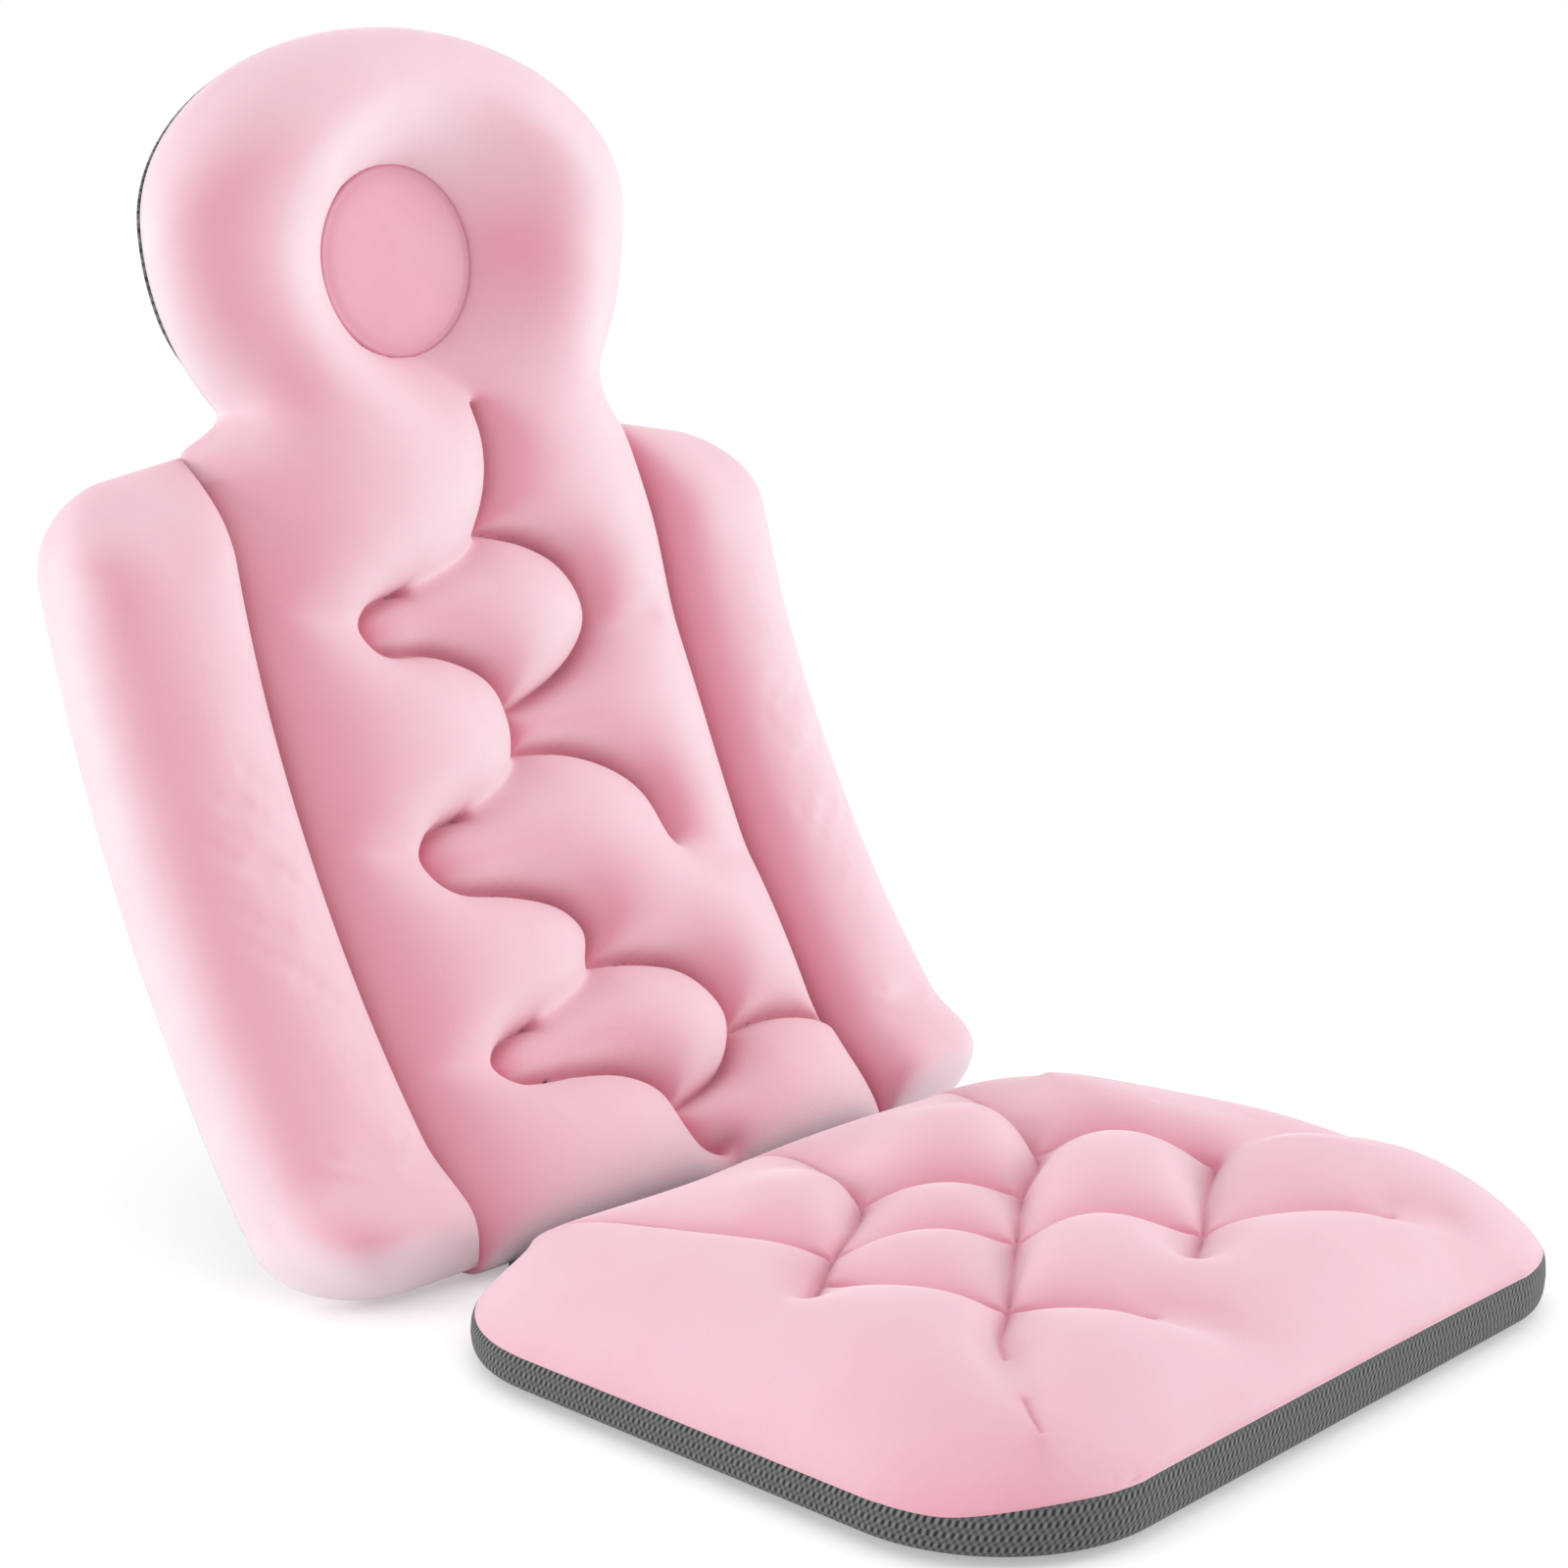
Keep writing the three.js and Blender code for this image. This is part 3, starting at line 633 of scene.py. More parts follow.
def swelling(columns, rows, lay, pressure, limit):
    """How far cloth simulation moves each point of a coarse cover, held along its stitches and hems."""
    blank, spread = new_grid("blank", columns, rows)
    start, held = lay(spread)
    set_points(blank, start)
    pins = blank.vertex_groups.new(name="stitched")
    pins.add([int(point) for point in np.flatnonzero(held)], 1, "REPLACE")
    cloth = blank.modifiers.new("wadding", "CLOTH")
    cloth.settings.vertex_group_mass = "stitched"
    cloth.settings.use_pressure = True
    cloth.settings.uniform_pressure_force = pressure
    cloth.settings.effector_weights.gravity = 0
    for step in range(1, blank_frames + 1):
        bpy.context.scene.frame_set(step)
    bpy.ops.object.modifier_apply(modifier=cloth.name)
    bpy.context.scene.frame_set(1)
    moved = points_of(blank) - start
    length = np.linalg.norm(moved, axis=1, keepdims=True)
    moved = moved * np.minimum(1, limit / np.maximum(length, 1e-9))
    order = np.lexsort((np.round(spread[:, 0], 5), np.round(spread[:, 1], 5)))
    bpy.data.objects.remove(blank)
    return moved[order].reshape(rows + 1, columns + 1, 3)


def spread_swelling(moved, spread):
    """The coarse cover's movement at each point of the fine one."""
    rows, columns = moved.shape[0] - 1, moved.shape[1] - 1
    return between(moved, (spread[:, 0] + 1) / 2 * columns, (spread[:, 1] + 1) / 2 * rows)


def set_painted_shade(piece, distance):
    """Keep how much painted shade each point gets near a seam, for the plush to darken its colour with."""
    hollow = painted_shade_share * np.exp(-distance / painted_shade_reach)
    seam = (1 - painted_shade_share) * fade(distance, seam_shade_reach)
    kept = piece.data.attributes.new("hollow", "FLOAT", "POINT")
    kept.data.foreach_set("value", hollow + seam)


def ease_rim(piece, chosen, times):
    """Smooth the chosen points near a cover's edge, so that its roll runs clean."""
    enter_edit(piece)
    bpy.ops.mesh.select_mode(type="VERT")
    bpy.ops.mesh.select_all(action="DESELECT")
    editing = bmesh.from_edit_mesh(piece.data)
    for point in editing.verts:
        point.select = bool(chosen[point.index])
    bmesh.update_edit_mesh(piece.data)
    bpy.ops.mesh.vertices_smooth(factor=0.5, repeat=times)
    bpy.ops.object.mode_set(mode="OBJECT")


def close_underside(piece):
    """Join the two long hems behind a cover and fill its ends."""
    spread = spread_of(piece)
    left = spread[:, 0] < spread[:, 0].min() + hair
    right = spread[:, 0] > spread[:, 0].max() - hair
    enter_edit(piece)
    bpy.ops.mesh.select_mode(type="EDGE")
    bpy.ops.mesh.select_all(action="DESELECT")
    editing = bmesh.from_edit_mesh(piece.data)
    for edge in editing.edges:
        ends = [point.index for point in edge.verts]
        edge.select = edge.is_boundary and (all(left[ends]) or all(right[ends]))
    bmesh.update_edit_mesh(piece.data)
    bpy.ops.mesh.bridge_edge_loops()
    bpy.ops.mesh.select_all(action="SELECT")
    bpy.ops.mesh.fill_holes(sides=0)
    bpy.ops.mesh.select_all(action="SELECT")
    bpy.ops.mesh.normals_make_consistent(inside=False)
    bpy.ops.object.mode_set(mode="OBJECT")


# Plush tones: the pale one is a painted sheen for surfaces seen aslant, the deep one is painted shade for
# the seams and the target of a random mottle.
pink_sheen_paint = (0.925, 0.800, 0.840, 1)
pink = (0.850, 0.420, 0.515, 1)
pink_shade_and_mottle = (0.760, 0.290, 0.385, 1)
pink_plush = plush_material("pink_plush", pink_sheen_paint, pink, pink_shade_and_mottle, plush_sheen)
seat_edge = seat_outline(np.linspace(0, 1, outline_points))[0] - [0, fold_y]
seat_relief = relief_map(
    (-seat_half_width - margin, seat_front - fold_y - margin),
    (seat_half_width + margin, seat_rear - fold_y + margin),
    seat_stitches,
    seat_edge,
    inside_seat,
    seat_seam_level,
    seat_crease_level,
)


def hem_of(spread):
    """Which points form the outermost ring of a grid, its hem."""
    return (np.abs(spread) > 1 - hair).any(axis=1)


def seam_distance(places, stitches):
    """Distance from each place to the nearest tight seam."""
    distances = [distance_to(stitch_line(points), places) for points, pull in stitches if pull == tight]
    return np.min(distances, axis=0)


def lay_seat(spread):
    """Points of the seat cover, and which of them the stitches and the hem hold."""
    places = snap(seat_places(spread), seat_stitches)
    distance = seam_distance(places, seat_stitches)
    height = read_map(seat_relief, places, seat_plumpness_at(places), seat_dome)
    height = height - nick_depth * knot_pull(places) * fade(distance, nick_width)
    hem = hem_of(spread)
    height[hem] = seat_seam_level(places[hem]) - hem_drop
    return np.column_stack([places[:, 0], places[:, 1] + fold_y, height]), hem | (distance < stitch_hold)


def ring_of(spread, columns, rows, rings):
    """Number of each point's ring, counted in from the hem and stopping at a number of rings."""
    from_side = np.rint((1 - np.abs(spread[:, 0])) / 2 * columns)
    from_end = np.rint((1 - np.abs(spread[:, 1])) / 2 * rows)
    return np.minimum(np.minimum(from_side, from_end), rings).astype(int)


seat_swelling = swelling(blank_columns, blank_rows, lay_seat, wadding_pressure, seat_stretch)
seat_cover, spread = new_grid("seat_cover", seat_columns, seat_rows)
set_points(seat_cover, lay_seat(spread)[0] + spread_swelling(seat_swelling, spread))
ring = ring_of(spread, seat_columns, seat_rows, seat_rim_rings)
ease_rim(seat_cover, (ring > 0) & (ring < seat_rim_rings), seat_rim_smoothing)
places = seat_places(spread)
# Painted shade along the quilting seams, wider round the knots, and along the hem.
seam_shadow = seam_distance(places, seat_stitches) / knot_pull(places)
set_painted_shade(seat_cover, np.minimum(seam_shadow, hem_shadow + 2 * seat_edge_distance(places)))
close_underside(seat_cover)
finish_piece(seat_cover, pink_plush, "seat", "seat_quilted_cover", "seat_inner_pad")

# Backing mesh
# One sheet of the grey spacer mesh over the whole rear of the back, from the fold up to the head.
# It carries the eyelets for the suction cups, and shows past the plush as a thin lip round the head.
fold_radius = 0.031
back_lean = math.radians(50)
bend_length = 0.500
bend_radius = bend_length / math.radians(40.5)
back_half_width = 0.207
shoulder_height = 0.348
shoulder_rise = 0.014
shoulder_radius = 0.036
mesh_shoulder = shoulder_height - 0.004
panel_half_width = 0.128
head_height = 0.463
head_half_width = 0.1365
head_half_length = 0.090
head_lower_length = 0.130
neck_height = 0.382
mesh_lip = -0.0035
mesh_neck_inset = 0.004
mesh_neck_end = 0.04
mesh_columns = 90
mesh_rows = 240
mesh_oval_start = 0.5
mesh_oval_reach = 0.97
mesh_rim_share = 0.03
mesh_rim = 0.0025
mesh_thickness = 0.006
mesh_inset = 0.026
mesh_start = 0.002
mesh_first_row = mesh_start + 0.0005
foot_radius = 0.042


def back_point(across, up, height):
    """A point of the back from its distance across, its length up the mesh and its height off the mesh."""
    bent = np.clip(up, 0, bend_length)
    lean = back_lean + bent / bend_radius
    straight = up - bent
    y = fold_radius * math.sin(back_lean)
    y = y + bend_radius * (np.sin(lean) - math.sin(back_lean)) + straight * np.cos(lean)
    z = fold_height - fold_radius * math.cos(back_lean)
    z = z + bend_radius * (math.cos(back_lean) - np.cos(lean)) + straight * np.sin(lean)
    return np.column_stack([across, fold_y + y - height * np.sin(lean), z + height * np.cos(lean)])


def head_width_at(up, spare=0):
    """Half width of the head's oval, which is drawn out below its middle into the neck."""
    half_length = np.where(up < head_height, head_lower_length, head_half_length + spare)
    share = np.clip((up - head_height) / half_length, -1, 1)
    return (head_half_width + spare) * np.sqrt(1 - share**2)


def mesh_half_width_at(up):
    """Half width of the backing mesh."""
    wide = back_half_width - mesh_inset
    foot = rounded_half_width(up - mesh_start, wide, foot_radius - mesh_inset)
    shoulder = rounded_half_width(mesh_shoulder - up, wide, shoulder_radius)
    neck = panel_half_width - mesh_neck_inset
    head = head_width_at(np.maximum(up, neck_height), mesh_lip)
    head = head - mesh_neck_inset * smooth_share(-up, mesh_neck_end - head_height, -neck_height)
    head = neck + (head - neck) * smooth_share(up, mesh_shoulder, neck_height)
    body = np.maximum(np.minimum(foot, shoulder), np.minimum(neck, foot))
    return np.where(up > mesh_shoulder, head, body)


back_mesh, spread = new_grid("back_mesh", mesh_columns, mesh_rows)
inner = np.clip(spread * (1 + mesh_rim_share), -1, 1)
body_up = np.interp(inner[:, 1], [-1, mesh_oval_start], [mesh_first_row, head_height])
oval_share = np.clip((inner[:, 1] - mesh_oval_start) / (1 - mesh_oval_start), 0, 1)
oval_up = (head_half_length + mesh_lip) * crowd(oval_share * mesh_oval_reach)
up = np.where(inner[:, 1] < mesh_oval_start, body_up, head_height + oval_up)
across = inner[:, 0] * mesh_half_width_at(up)
rim = np.clip((np.abs(spread).max(axis=1) - 1 + mesh_rim_share) / mesh_rim_share, 0, 1)
set_points(back_mesh, back_point(across, up, mesh_rim * rim))
set_weave(back_mesh, across, up)
close_underside(back_mesh)
finish_piece(back_mesh, grey_mesh, "back", "back_mesh")

# Back cover
# One cloth of pink plush from the rolled lower end up over the spine and the neck to the padded head ring.
# Stitch lines through its wadding draw three bean-shaped puffs down the middle, each with a hooked lobe.
seam_height = 0.018
shoulder_seam_height = 0.005
crease_height = 0.034
spine_plumpness = 0.95
head_plumpness = 1.05
crown_plumpness = 1.35
disc_height = 0.445
disc_radius = 0.045
disc_floor = 0.012
disc_stay = 0.020
dish_rise = 0.052
head_seam_height = 0.012
back_columns = 260
back_rows = 600
oval_rows = 116
hem_rings = 3
hem_insets = np.array([0.050, 0.022, 0.007, 0])
hem_drops = np.array([1, 0.85, 0.45, 0])
roll_end = -0.0305
roll_off = 0.03
shoulder_fall = 0.05
neck_fall = 0.01
head_blend = 0.04
disc_spare = 0.004
back_rim_rings = 12
back_rim_smoothing = 8
back_blank_columns = 50
back_blank_rows = 114
back_stretch = 0.005
edge_points = 400
foot_points = 200
# Stitch lines in millimetres, across and up the mesh from the fold.
spine_stitches = [
    ([(8, 402), (12, 388), (16, 372)], loose),
    ([(16, 372), (17, 350), (14, 331), (6, 313)], tight),
    ([(5, 311), (31, 304), (51, 291), (61, 271), (59, 254), (40, 236), (12, 224), (-3, 220)], tight),
    (
        [
            (-45, 286), (-58, 283), (-68, 278), (-72, 270), (-69, 261), (-56, 257), (-36, 255),
            (-12, 243), (-3, 229), (-3, 220), (-2, 210), (-4, 200),
        ],
        tight,
    ),
    ([(5, 311), (-6, 299), (-27, 291), (-45, 286)], soft),
    ([(-69, 269), (-95, 279), (-126, 292)], loose),
    ([(62, 256), (92, 256)], loose),
    ([(-4, 200), (22, 197), (45, 187), (61, 173), (67, 157), (67, 140)], tight),
    (
        [
            (-45, 174), (-60, 171), (-70, 165), (-74, 156), (-72, 146), (-62, 139), (-35, 133),
            (-10, 123), (2, 108), (1, 99), (-4, 90),
        ],
        tight,
    ),
    ([(-4, 200), (-12, 188), (-27, 180), (-45, 174)], soft),
    ([(-74, 156), (-97, 165), (-126, 176)], loose),
    ([(67, 140), (88, 128), (126, 122)], loose),
    ([(-4, 90), (22, 85), (45, 76), (59, 57), (61, 41), (45, 20), (17, 11), (5, 9)], tight),
    ([(-4, 90), (-12, 80), (-30, 73), (-50, 68)], soft),
    ([(-79, 53), (-100, 58), (-126, 66)], loose),
    (
        [
            (-50, 68), (-62, 66), (-73, 61), (-79, 53), (-75, 45), (-62, 42), (-40, 40), (-15, 34),
            (3, 20), (5, 1), (10, -10), (22, -17),
        ],
        tight,
    ),
    ([(61, 38), (84, 40), (108, 35), (124, 26)], tight),
]


def panel_half_width_at(up):
    """Half width of the back cover: the centre panel, the neck and the head's oval."""
    step = smooth_share(up, shoulder_height + shoulder_rise, neck_height)
    return panel_half_width + (head_width_at(up) - panel_half_width) * step


def inside_panel(places):
    """Whether each place lies on the back cover and off the head's disc."""
    up = places[:, 1]
    on_disc = np.hypot(places[:, 0], up - disc_height) < disc_radius
    long_enough = (up > roll_end) & (up < head_height + head_half_length)
    return (np.abs(places[:, 0]) < panel_half_width_at(up)) & long_enough & ~on_disc


def rolled_level(up, level):
    """Height of a seam that turns in round the back's rolled lower end."""
    return fold_radius + (level - fold_radius) * smooth_share(up, roll_end, roll_off)


def side_seam_level(up):
    """Height of the seams beside the panel, which run down to the mesh at the shoulder."""
    body = rolled_level(up, seam_height)
    fall = smooth_share(up, shoulder_height - shoulder_fall, shoulder_height + shoulder_rise)
    return body + (shoulder_seam_height - body) * fall


def panel_seam_level(places):
    """Height of the seams round the back cover, and of the floor under the disc."""
    up = places[:, 1]
    body = side_seam_level(up)
    rim = body + (head_seam_height - body) * smooth_share(up, shoulder_height, neck_height)
    on_disc = np.hypot(places[:, 0], up - disc_height) < disc_radius + disc_spare
    return np.where(on_disc, disc_floor, rim)


def spine_crease_level(places):
    """Height of the spine's stitch lines, sinking towards the disc."""
    fall = smooth_share(places[:, 1], neck_height - neck_fall, disc_height - disc_radius)
    return crease_height + (disc_floor - crease_height) * fall


def back_plumpness(places):
    """How far the wadding swells between its seams: fullest over the disc, with a slope down to it."""
    across, up = places.T
    head_share = smooth_share(up, shoulder_height - head_blend, neck_height + head_blend)
    crown_share = smooth_share(up, disc_height, head_height + disc_radius)
    plumpness = spine_plumpness + (head_plumpness - spine_plumpness) * head_share
    plumpness = plumpness + (crown_plumpness - head_plumpness) * crown_share
    from_disc = np.hypot(across, up - disc_height) - disc_radius
    slope = np.clip(from_disc / dish_rise, 0, 1)
    return plumpness * np.sqrt(slope * (2 - slope))


def panel_places(spread, inset=0):
    """Where each point of the cover's grid lies on the back: rows up to the head, then half an oval."""
    grown = 1 + 2 * hem_rings / np.array([back_columns, back_rows])
    inner = np.clip(spread * grown, -1, 1)
    oval_start = 1 - 2 * oval_rows / back_rows
    up = np.interp(inner[:, 1], [-1, oval_start], [roll_end, head_height])
    across = inner[:, 0] * panel_half_width_at(up)
    rise = np.clip((inner[:, 1] - oval_start) / (1 - oval_start), 0, 1)
    oval_across = inner[:, 0] * np.sqrt(1 - rise**2 / 2) * head_half_width
    oval_up = head_height + rise * np.sqrt(1 - inner[:, 0] ** 2 / 2) * head_half_length
    on_oval = inner[:, 1] > oval_start
    places = np.column_stack([np.where(on_oval, oval_across, across), np.where(on_oval, oval_up, up)])
    centre = np.column_stack([np.zeros(len(places)), np.where(on_oval, head_height, places[:, 1])])
    return centre + (places - centre) * (1 - np.asarray(inset))[..., None]


turn = np.linspace(0, 2 * math.pi, edge_points)
side_up = np.linspace(roll_end, head_height, edge_points)
side = np.column_stack([panel_half_width_at(side_up), side_up])
half_turn = np.column_stack([np.cos(turn / 2), np.sin(turn / 2)])
oval = [0, head_height] + [head_half_width, head_half_length] * half_turn
foot_across = np.linspace(-panel_half_width, panel_half_width, foot_points)
foot = np.column_stack([foot_across, np.full(foot_points, roll_end)])
disc_edge = [0, disc_height] + disc_radius * np.column_stack([np.cos(turn), np.sin(turn)])
panel_edge = np.vstack([side, side * [-1, 1], oval, foot, disc_edge])
back_relief = relief_map(
    (-head_half_width - margin, roll_end - margin),
    (head_half_width + margin, head_height + head_half_length + margin),
    spine_stitches,
    panel_edge,
    inside_panel,
    panel_seam_level,
    spine_crease_level,
)


def rest_level(up):
    """Height of the back's underside: on the mesh, and round the rolled lower end."""
    below = np.minimum(up, 0)
    return np.maximum(mesh_rim, fold_radius - np.sqrt(np.maximum(fold_radius**2 - below**2, 0)))


def lay_panel(spread):
    """Points of the back cover, and which of them the stitches, the disc and the hem hold."""
    ring = ring_of(spread, back_columns, back_rows, hem_rings)
    edge_places = panel_places(spread)
    places = snap(panel_places(spread, hem_insets[ring]), spine_stitches)
    distance = seam_distance(places, spine_stitches)
    height = read_map(back_relief, places, back_plumpness(places))
    height = height - nick_depth * fade(distance, nick_width)
    seam = panel_seam_level(edge_places)
    tucked = seam - hem_drops[ring] * np.maximum(seam - rest_level(places[:, 1]), 0)
    height = np.where(ring < hem_rings, tucked, height)
    by_disc = np.hypot(places[:, 0], places[:, 1] - disc_height) < disc_radius + disc_stay
    held = (ring < hem_rings) | by_disc | (distance < stitch_hold)
    return back_point(places[:, 0], places[:, 1], height), held


back_swelling = swelling(back_blank_columns, back_blank_rows, lay_panel, wadding_pressure, back_stretch)
back_cover, spread = new_grid("back_cover", back_columns, back_rows)
set_points(back_cover, lay_panel(spread)[0] + spread_swelling(back_swelling, spread))
ring = ring_of(spread, back_columns, back_rows, back_rim_rings)
places = panel_places(spread)
by_bolster = (ring <= hem_rings) & (places[:, 1] < neck_height)
ease_rim(back_cover, (ring > 1) & (ring < back_rim_rings) & ~by_bolster, back_rim_smoothing)
# Painted shade along the spine's seams and beside the bolster seams, fading out above the shoulder.
side_distance = panel_half_width - np.abs(places[:, 0])
side_distance = np.abs(side_distance) + smooth_share(places[:, 1], shoulder_height, neck_height)
set_painted_shade(back_cover, np.minimum(seam_distance(places, spine_stitches), side_distance))
close_underside(back_cover)
finish_piece(back_cover, pink_plush, "back", "back_quilted_cover", "back_inner_pad")

# Head disc
# A flat round of the same plush, sewn down in the middle of the head ring over a thin pad.
# Its edge is bound with a row of close stitches, and its pile lies flat, so it has less sheen, real and
# painted, and looks a shade deeper; painted shade deepens it towards the bound edge.
disc_thickness = 0.0025
disc_gap = 0.0003
bore_gap = 0.00002
disc_edge_shade_scale = 3
disc_sides = 96
disc_sheen = 0.2
disc_sheen_paint = (0.860, 0.520, 0.600, 1)
disc_pink = (0.800, 0.420, 0.510, 1)
disc_shade_and_mottle = (0.600, 0.200, 0.290, 1)


def turned_piece(name, profile, segments):
    """A round piece about Z by its profile of radius and level, bored where that ends as it began."""
    bored = profile[0] == profile[-1]
    radius, level = profile[0]
    bpy.ops.object.select_all(action="DESELECT")
    bpy.ops.mesh.primitive_circle_add(
        vertices=segments, radius=radius, location=(0, 0, level), fill_type="NOTHING" if bored else "NGON"
    )
    piece = bpy.context.object
    piece.name = name
    piece.data.name = name
    bpy.ops.object.transform_apply(location=True, rotation=False, scale=False)
    bpy.ops.object.mode_set(mode="EDIT")
    bpy.ops.mesh.select_all(action="SELECT")
    for next_radius, next_level in profile[1:]:
        bpy.ops.mesh.extrude_region_move(TRANSFORM_OT_translate={"value": (0, 0, next_level - level)})
        share = next_radius / radius
        bpy.ops.transform.resize(value=(share, share, 1), center_override=(0, 0, next_level))
        radius, level = next_radius, next_level
    bpy.ops.object.mode_set(mode="OBJECT")
    if bored:
        edit_all(piece, merging(bore_gap))
    edit_all(piece, facing_out)
    return piece


def back_frame(across, up, height):
    """Place on the back whose Z axis points off the mesh, towards the sitter."""
    lean = back_lean + min(max(up, 0), bend_length) / bend_radius
    off_mesh = Vector((0, -math.sin(lean), math.cos(lean)))
    up_mesh = Vector((0, math.cos(lean), math.sin(lean)))
    place = Vector(back_point(np.array([across]), np.array([up]), np.array([height]))[0])
    turned = Matrix((Vector((1, 0, 0)), up_mesh, off_mesh)).transposed().to_4x4()
    return Matrix.Translation(place) @ turned


disc_base = disc_floor + disc_gap
disc_top = disc_base + disc_thickness
disc_profile = [
    (disc_radius - 0.0006, disc_base),
    (disc_radius, disc_base + 0.0006),
    (disc_radius, disc_top - 0.0012),
    (disc_radius - 0.0008, disc_top - 0.0004),
    (disc_radius - 0.0022, disc_top - 0.0002),
    (disc_radius - 0.0034, disc_top - 0.0009),
    (disc_radius - 0.0046, disc_top - 0.0002),
    (disc_radius - 0.0100, disc_top),
    (disc_radius * 0.5, disc_top + 0.0004),
    (disc_radius * 0.1, disc_top + 0.0005),
]
disc_plush = plush_material("disc_plush", disc_sheen_paint, disc_pink, disc_shade_and_mottle, disc_sheen)
disc = turned_piece("head_round", disc_profile, disc_sides)
# Painted shade on the disc, deepest at its bound edge.
set_painted_shade(disc, disc_edge_shade_scale * (disc_radius - np.hypot(*points_of(disc)[:, :2].T)))
disc.data.transform(back_frame(0, disc_height, 0))
finish_piece(disc, disc_plush, "back", "head_disc")

# Bolsters
# Two long rolls of pink plush stuffed with fibre, sewn to the centre panel in deep straight seams.
# Each is blown out full along its length, with rounded outer corners at the shoulder and the foot.
bolster_seam = 0.0003
bolster_sewn_gap = 0.00002
bolster_foot = -0.0285
bolster_plumpness = 0.93
bolster_under = 0.75
bolster_squareness = 3
bolster_foot_round = 0.022
bolster_shoulder_round = 0.048
bolster_outer_level = 0.010
bolster_floor = 0.0015
bolster_lap = 0.004
bolster_past = 0.010
bolster_columns = 64
bolster_rows = 260
bolster_blank_columns = 20
bolster_blank_rows = 80
bolster_stretch = 0.004
shoulder_rise_length = 0.150


def bolster_outer_at(up):
    """Outer edge of a bolster, with its two rounded corners."""
    foot = rounded_half_width(up - bolster_foot, back_half_width, foot_radius)
    shoulder = rounded_half_width(shoulder_height - up, back_half_width, shoulder_radius)
    return np.minimum(foot, shoulder)


def bolster_share(places):
    """How far each place lies from the panel's seam towards the bolster's outer side."""
    return np.clip((places[:, 0] - panel_half_width) / (back_half_width - panel_half_width), 0, 1)


def bolster_seam_level(places):
    """Height of the bolster's edge: at the panel's seam, and lower at its outer side."""
    up = places[:, 1]
    outer = rolled_level(up, bolster_outer_level)
    inner = side_seam_level(up)
    return inner + (outer - inner) * bolster_share(places)


def bolster_roll(places):
    """How far a bolster swells off its edge: a full roll with rounded sides, closed at both ends."""
    across, up = places.T
    inner = panel_half_width + bolster_seam
    half_width = np.maximum(bolster_outer_at(up) - inner, 1e-6) / 2
    from_middle = np.clip(np.abs(across - inner - half_width) / half_width, 0, 1)
    to_foot = 1 - np.clip((up - bolster_foot) / bolster_foot_round, 0, 1)
    to_shoulder = 1 - np.clip((shoulder_height - up) / bolster_shoulder_round, 0, 1)
    side_round = (1 - from_middle**bolster_squareness) ** (1 / bolster_squareness)
    return half_width * side_round * np.sqrt((1 - to_foot**2) * (1 - to_shoulder**2))


def bolster_places(spread):
    """Where each point of the bolster's grid lies on the back."""
    middle = (bolster_foot + shoulder_height) / 2
    up = middle + (shoulder_height - bolster_foot) / 2 * crowd(spread[:, 1])
    edge = panel_half_width + bolster_seam
    across = edge + (crowd(spread[:, 0]) + 1) / 2 * (bolster_outer_at(up) - edge)
    return np.column_stack([across, up])


def bolster_rest_level(places):
    """Lowest level of a bolster's underside: on the mesh, and lower where it rolls past the mesh."""
    across, up = places.T
    mesh_edge = back_half_width - mesh_inset
    past_mesh = smooth_share(across, mesh_edge - bolster_lap, mesh_edge + bolster_past)
    on_mesh = np.maximum(rest_level(up), mesh_thickness)
    return on_mesh + (np.maximum(bolster_floor, rest_level(up) - mesh_rim) - on_mesh) * past_mesh


def shoulder_lift(places):
    """How far the shoulder rises from a bolster's outer side towards the neck."""
    across, up = places.T
    share = np.clip((back_half_width - across) / (back_half_width - panel_half_width), 0, 1)
    climb = smooth_share(up, shoulder_height - shoulder_rise_length, shoulder_height)
    return shoulder_rise * share * climb


def lay_bolster(spread, side, plumpness):
    """Points of one face of a bolster, closed along its edge, and which of them the edge holds."""
    places = bolster_places(spread)
    edge = hem_of(spread)
    seam = bolster_seam_level(places)
    height = np.where(edge, seam, seam + plumpness * bolster_roll(places))
    height = np.maximum(height, np.minimum(bolster_rest_level(places), seam))
    return back_point(side * places[:, 0], places[:, 1] + shoulder_lift(places), height), edge


for side_name, side in [("left", -1), ("right", 1)]:
    puffed = swelling(
        bolster_blank_columns,
        bolster_blank_rows,
        lambda spread: lay_bolster(spread, side, bolster_plumpness),
        wadding_pressure * side,
        bolster_stretch,
    )
    faces = []
    for plumpness, blown in [(bolster_plumpness, puffed), (-bolster_under, 0 * puffed)]:
        face, spread = new_grid(f"{side_name}_bolster", bolster_columns, bolster_rows)
        set_points(face, lay_bolster(spread, side, plumpness)[0] + spread_swelling(blown, spread))
        # Painted shade on the bolster, deepest at its seam to the panel.
        set_painted_shade(face, bolster_places(spread)[:, 0] - panel_half_width)
        faces.append(face)
    bolster, underside = faces
    bpy.ops.object.select_all(action="DESELECT")
    bolster.select_set(True)
    underside.select_set(True)
    bpy.context.view_layer.objects.active = bolster
    bpy.ops.object.join()
    edit_all(bolster, merging(bolster_sewn_gap), facing_out)
    finish_piece(bolster, pink_plush, "back", f"{side_name}_bolster_cover", f"{side_name}_bolster_filling")

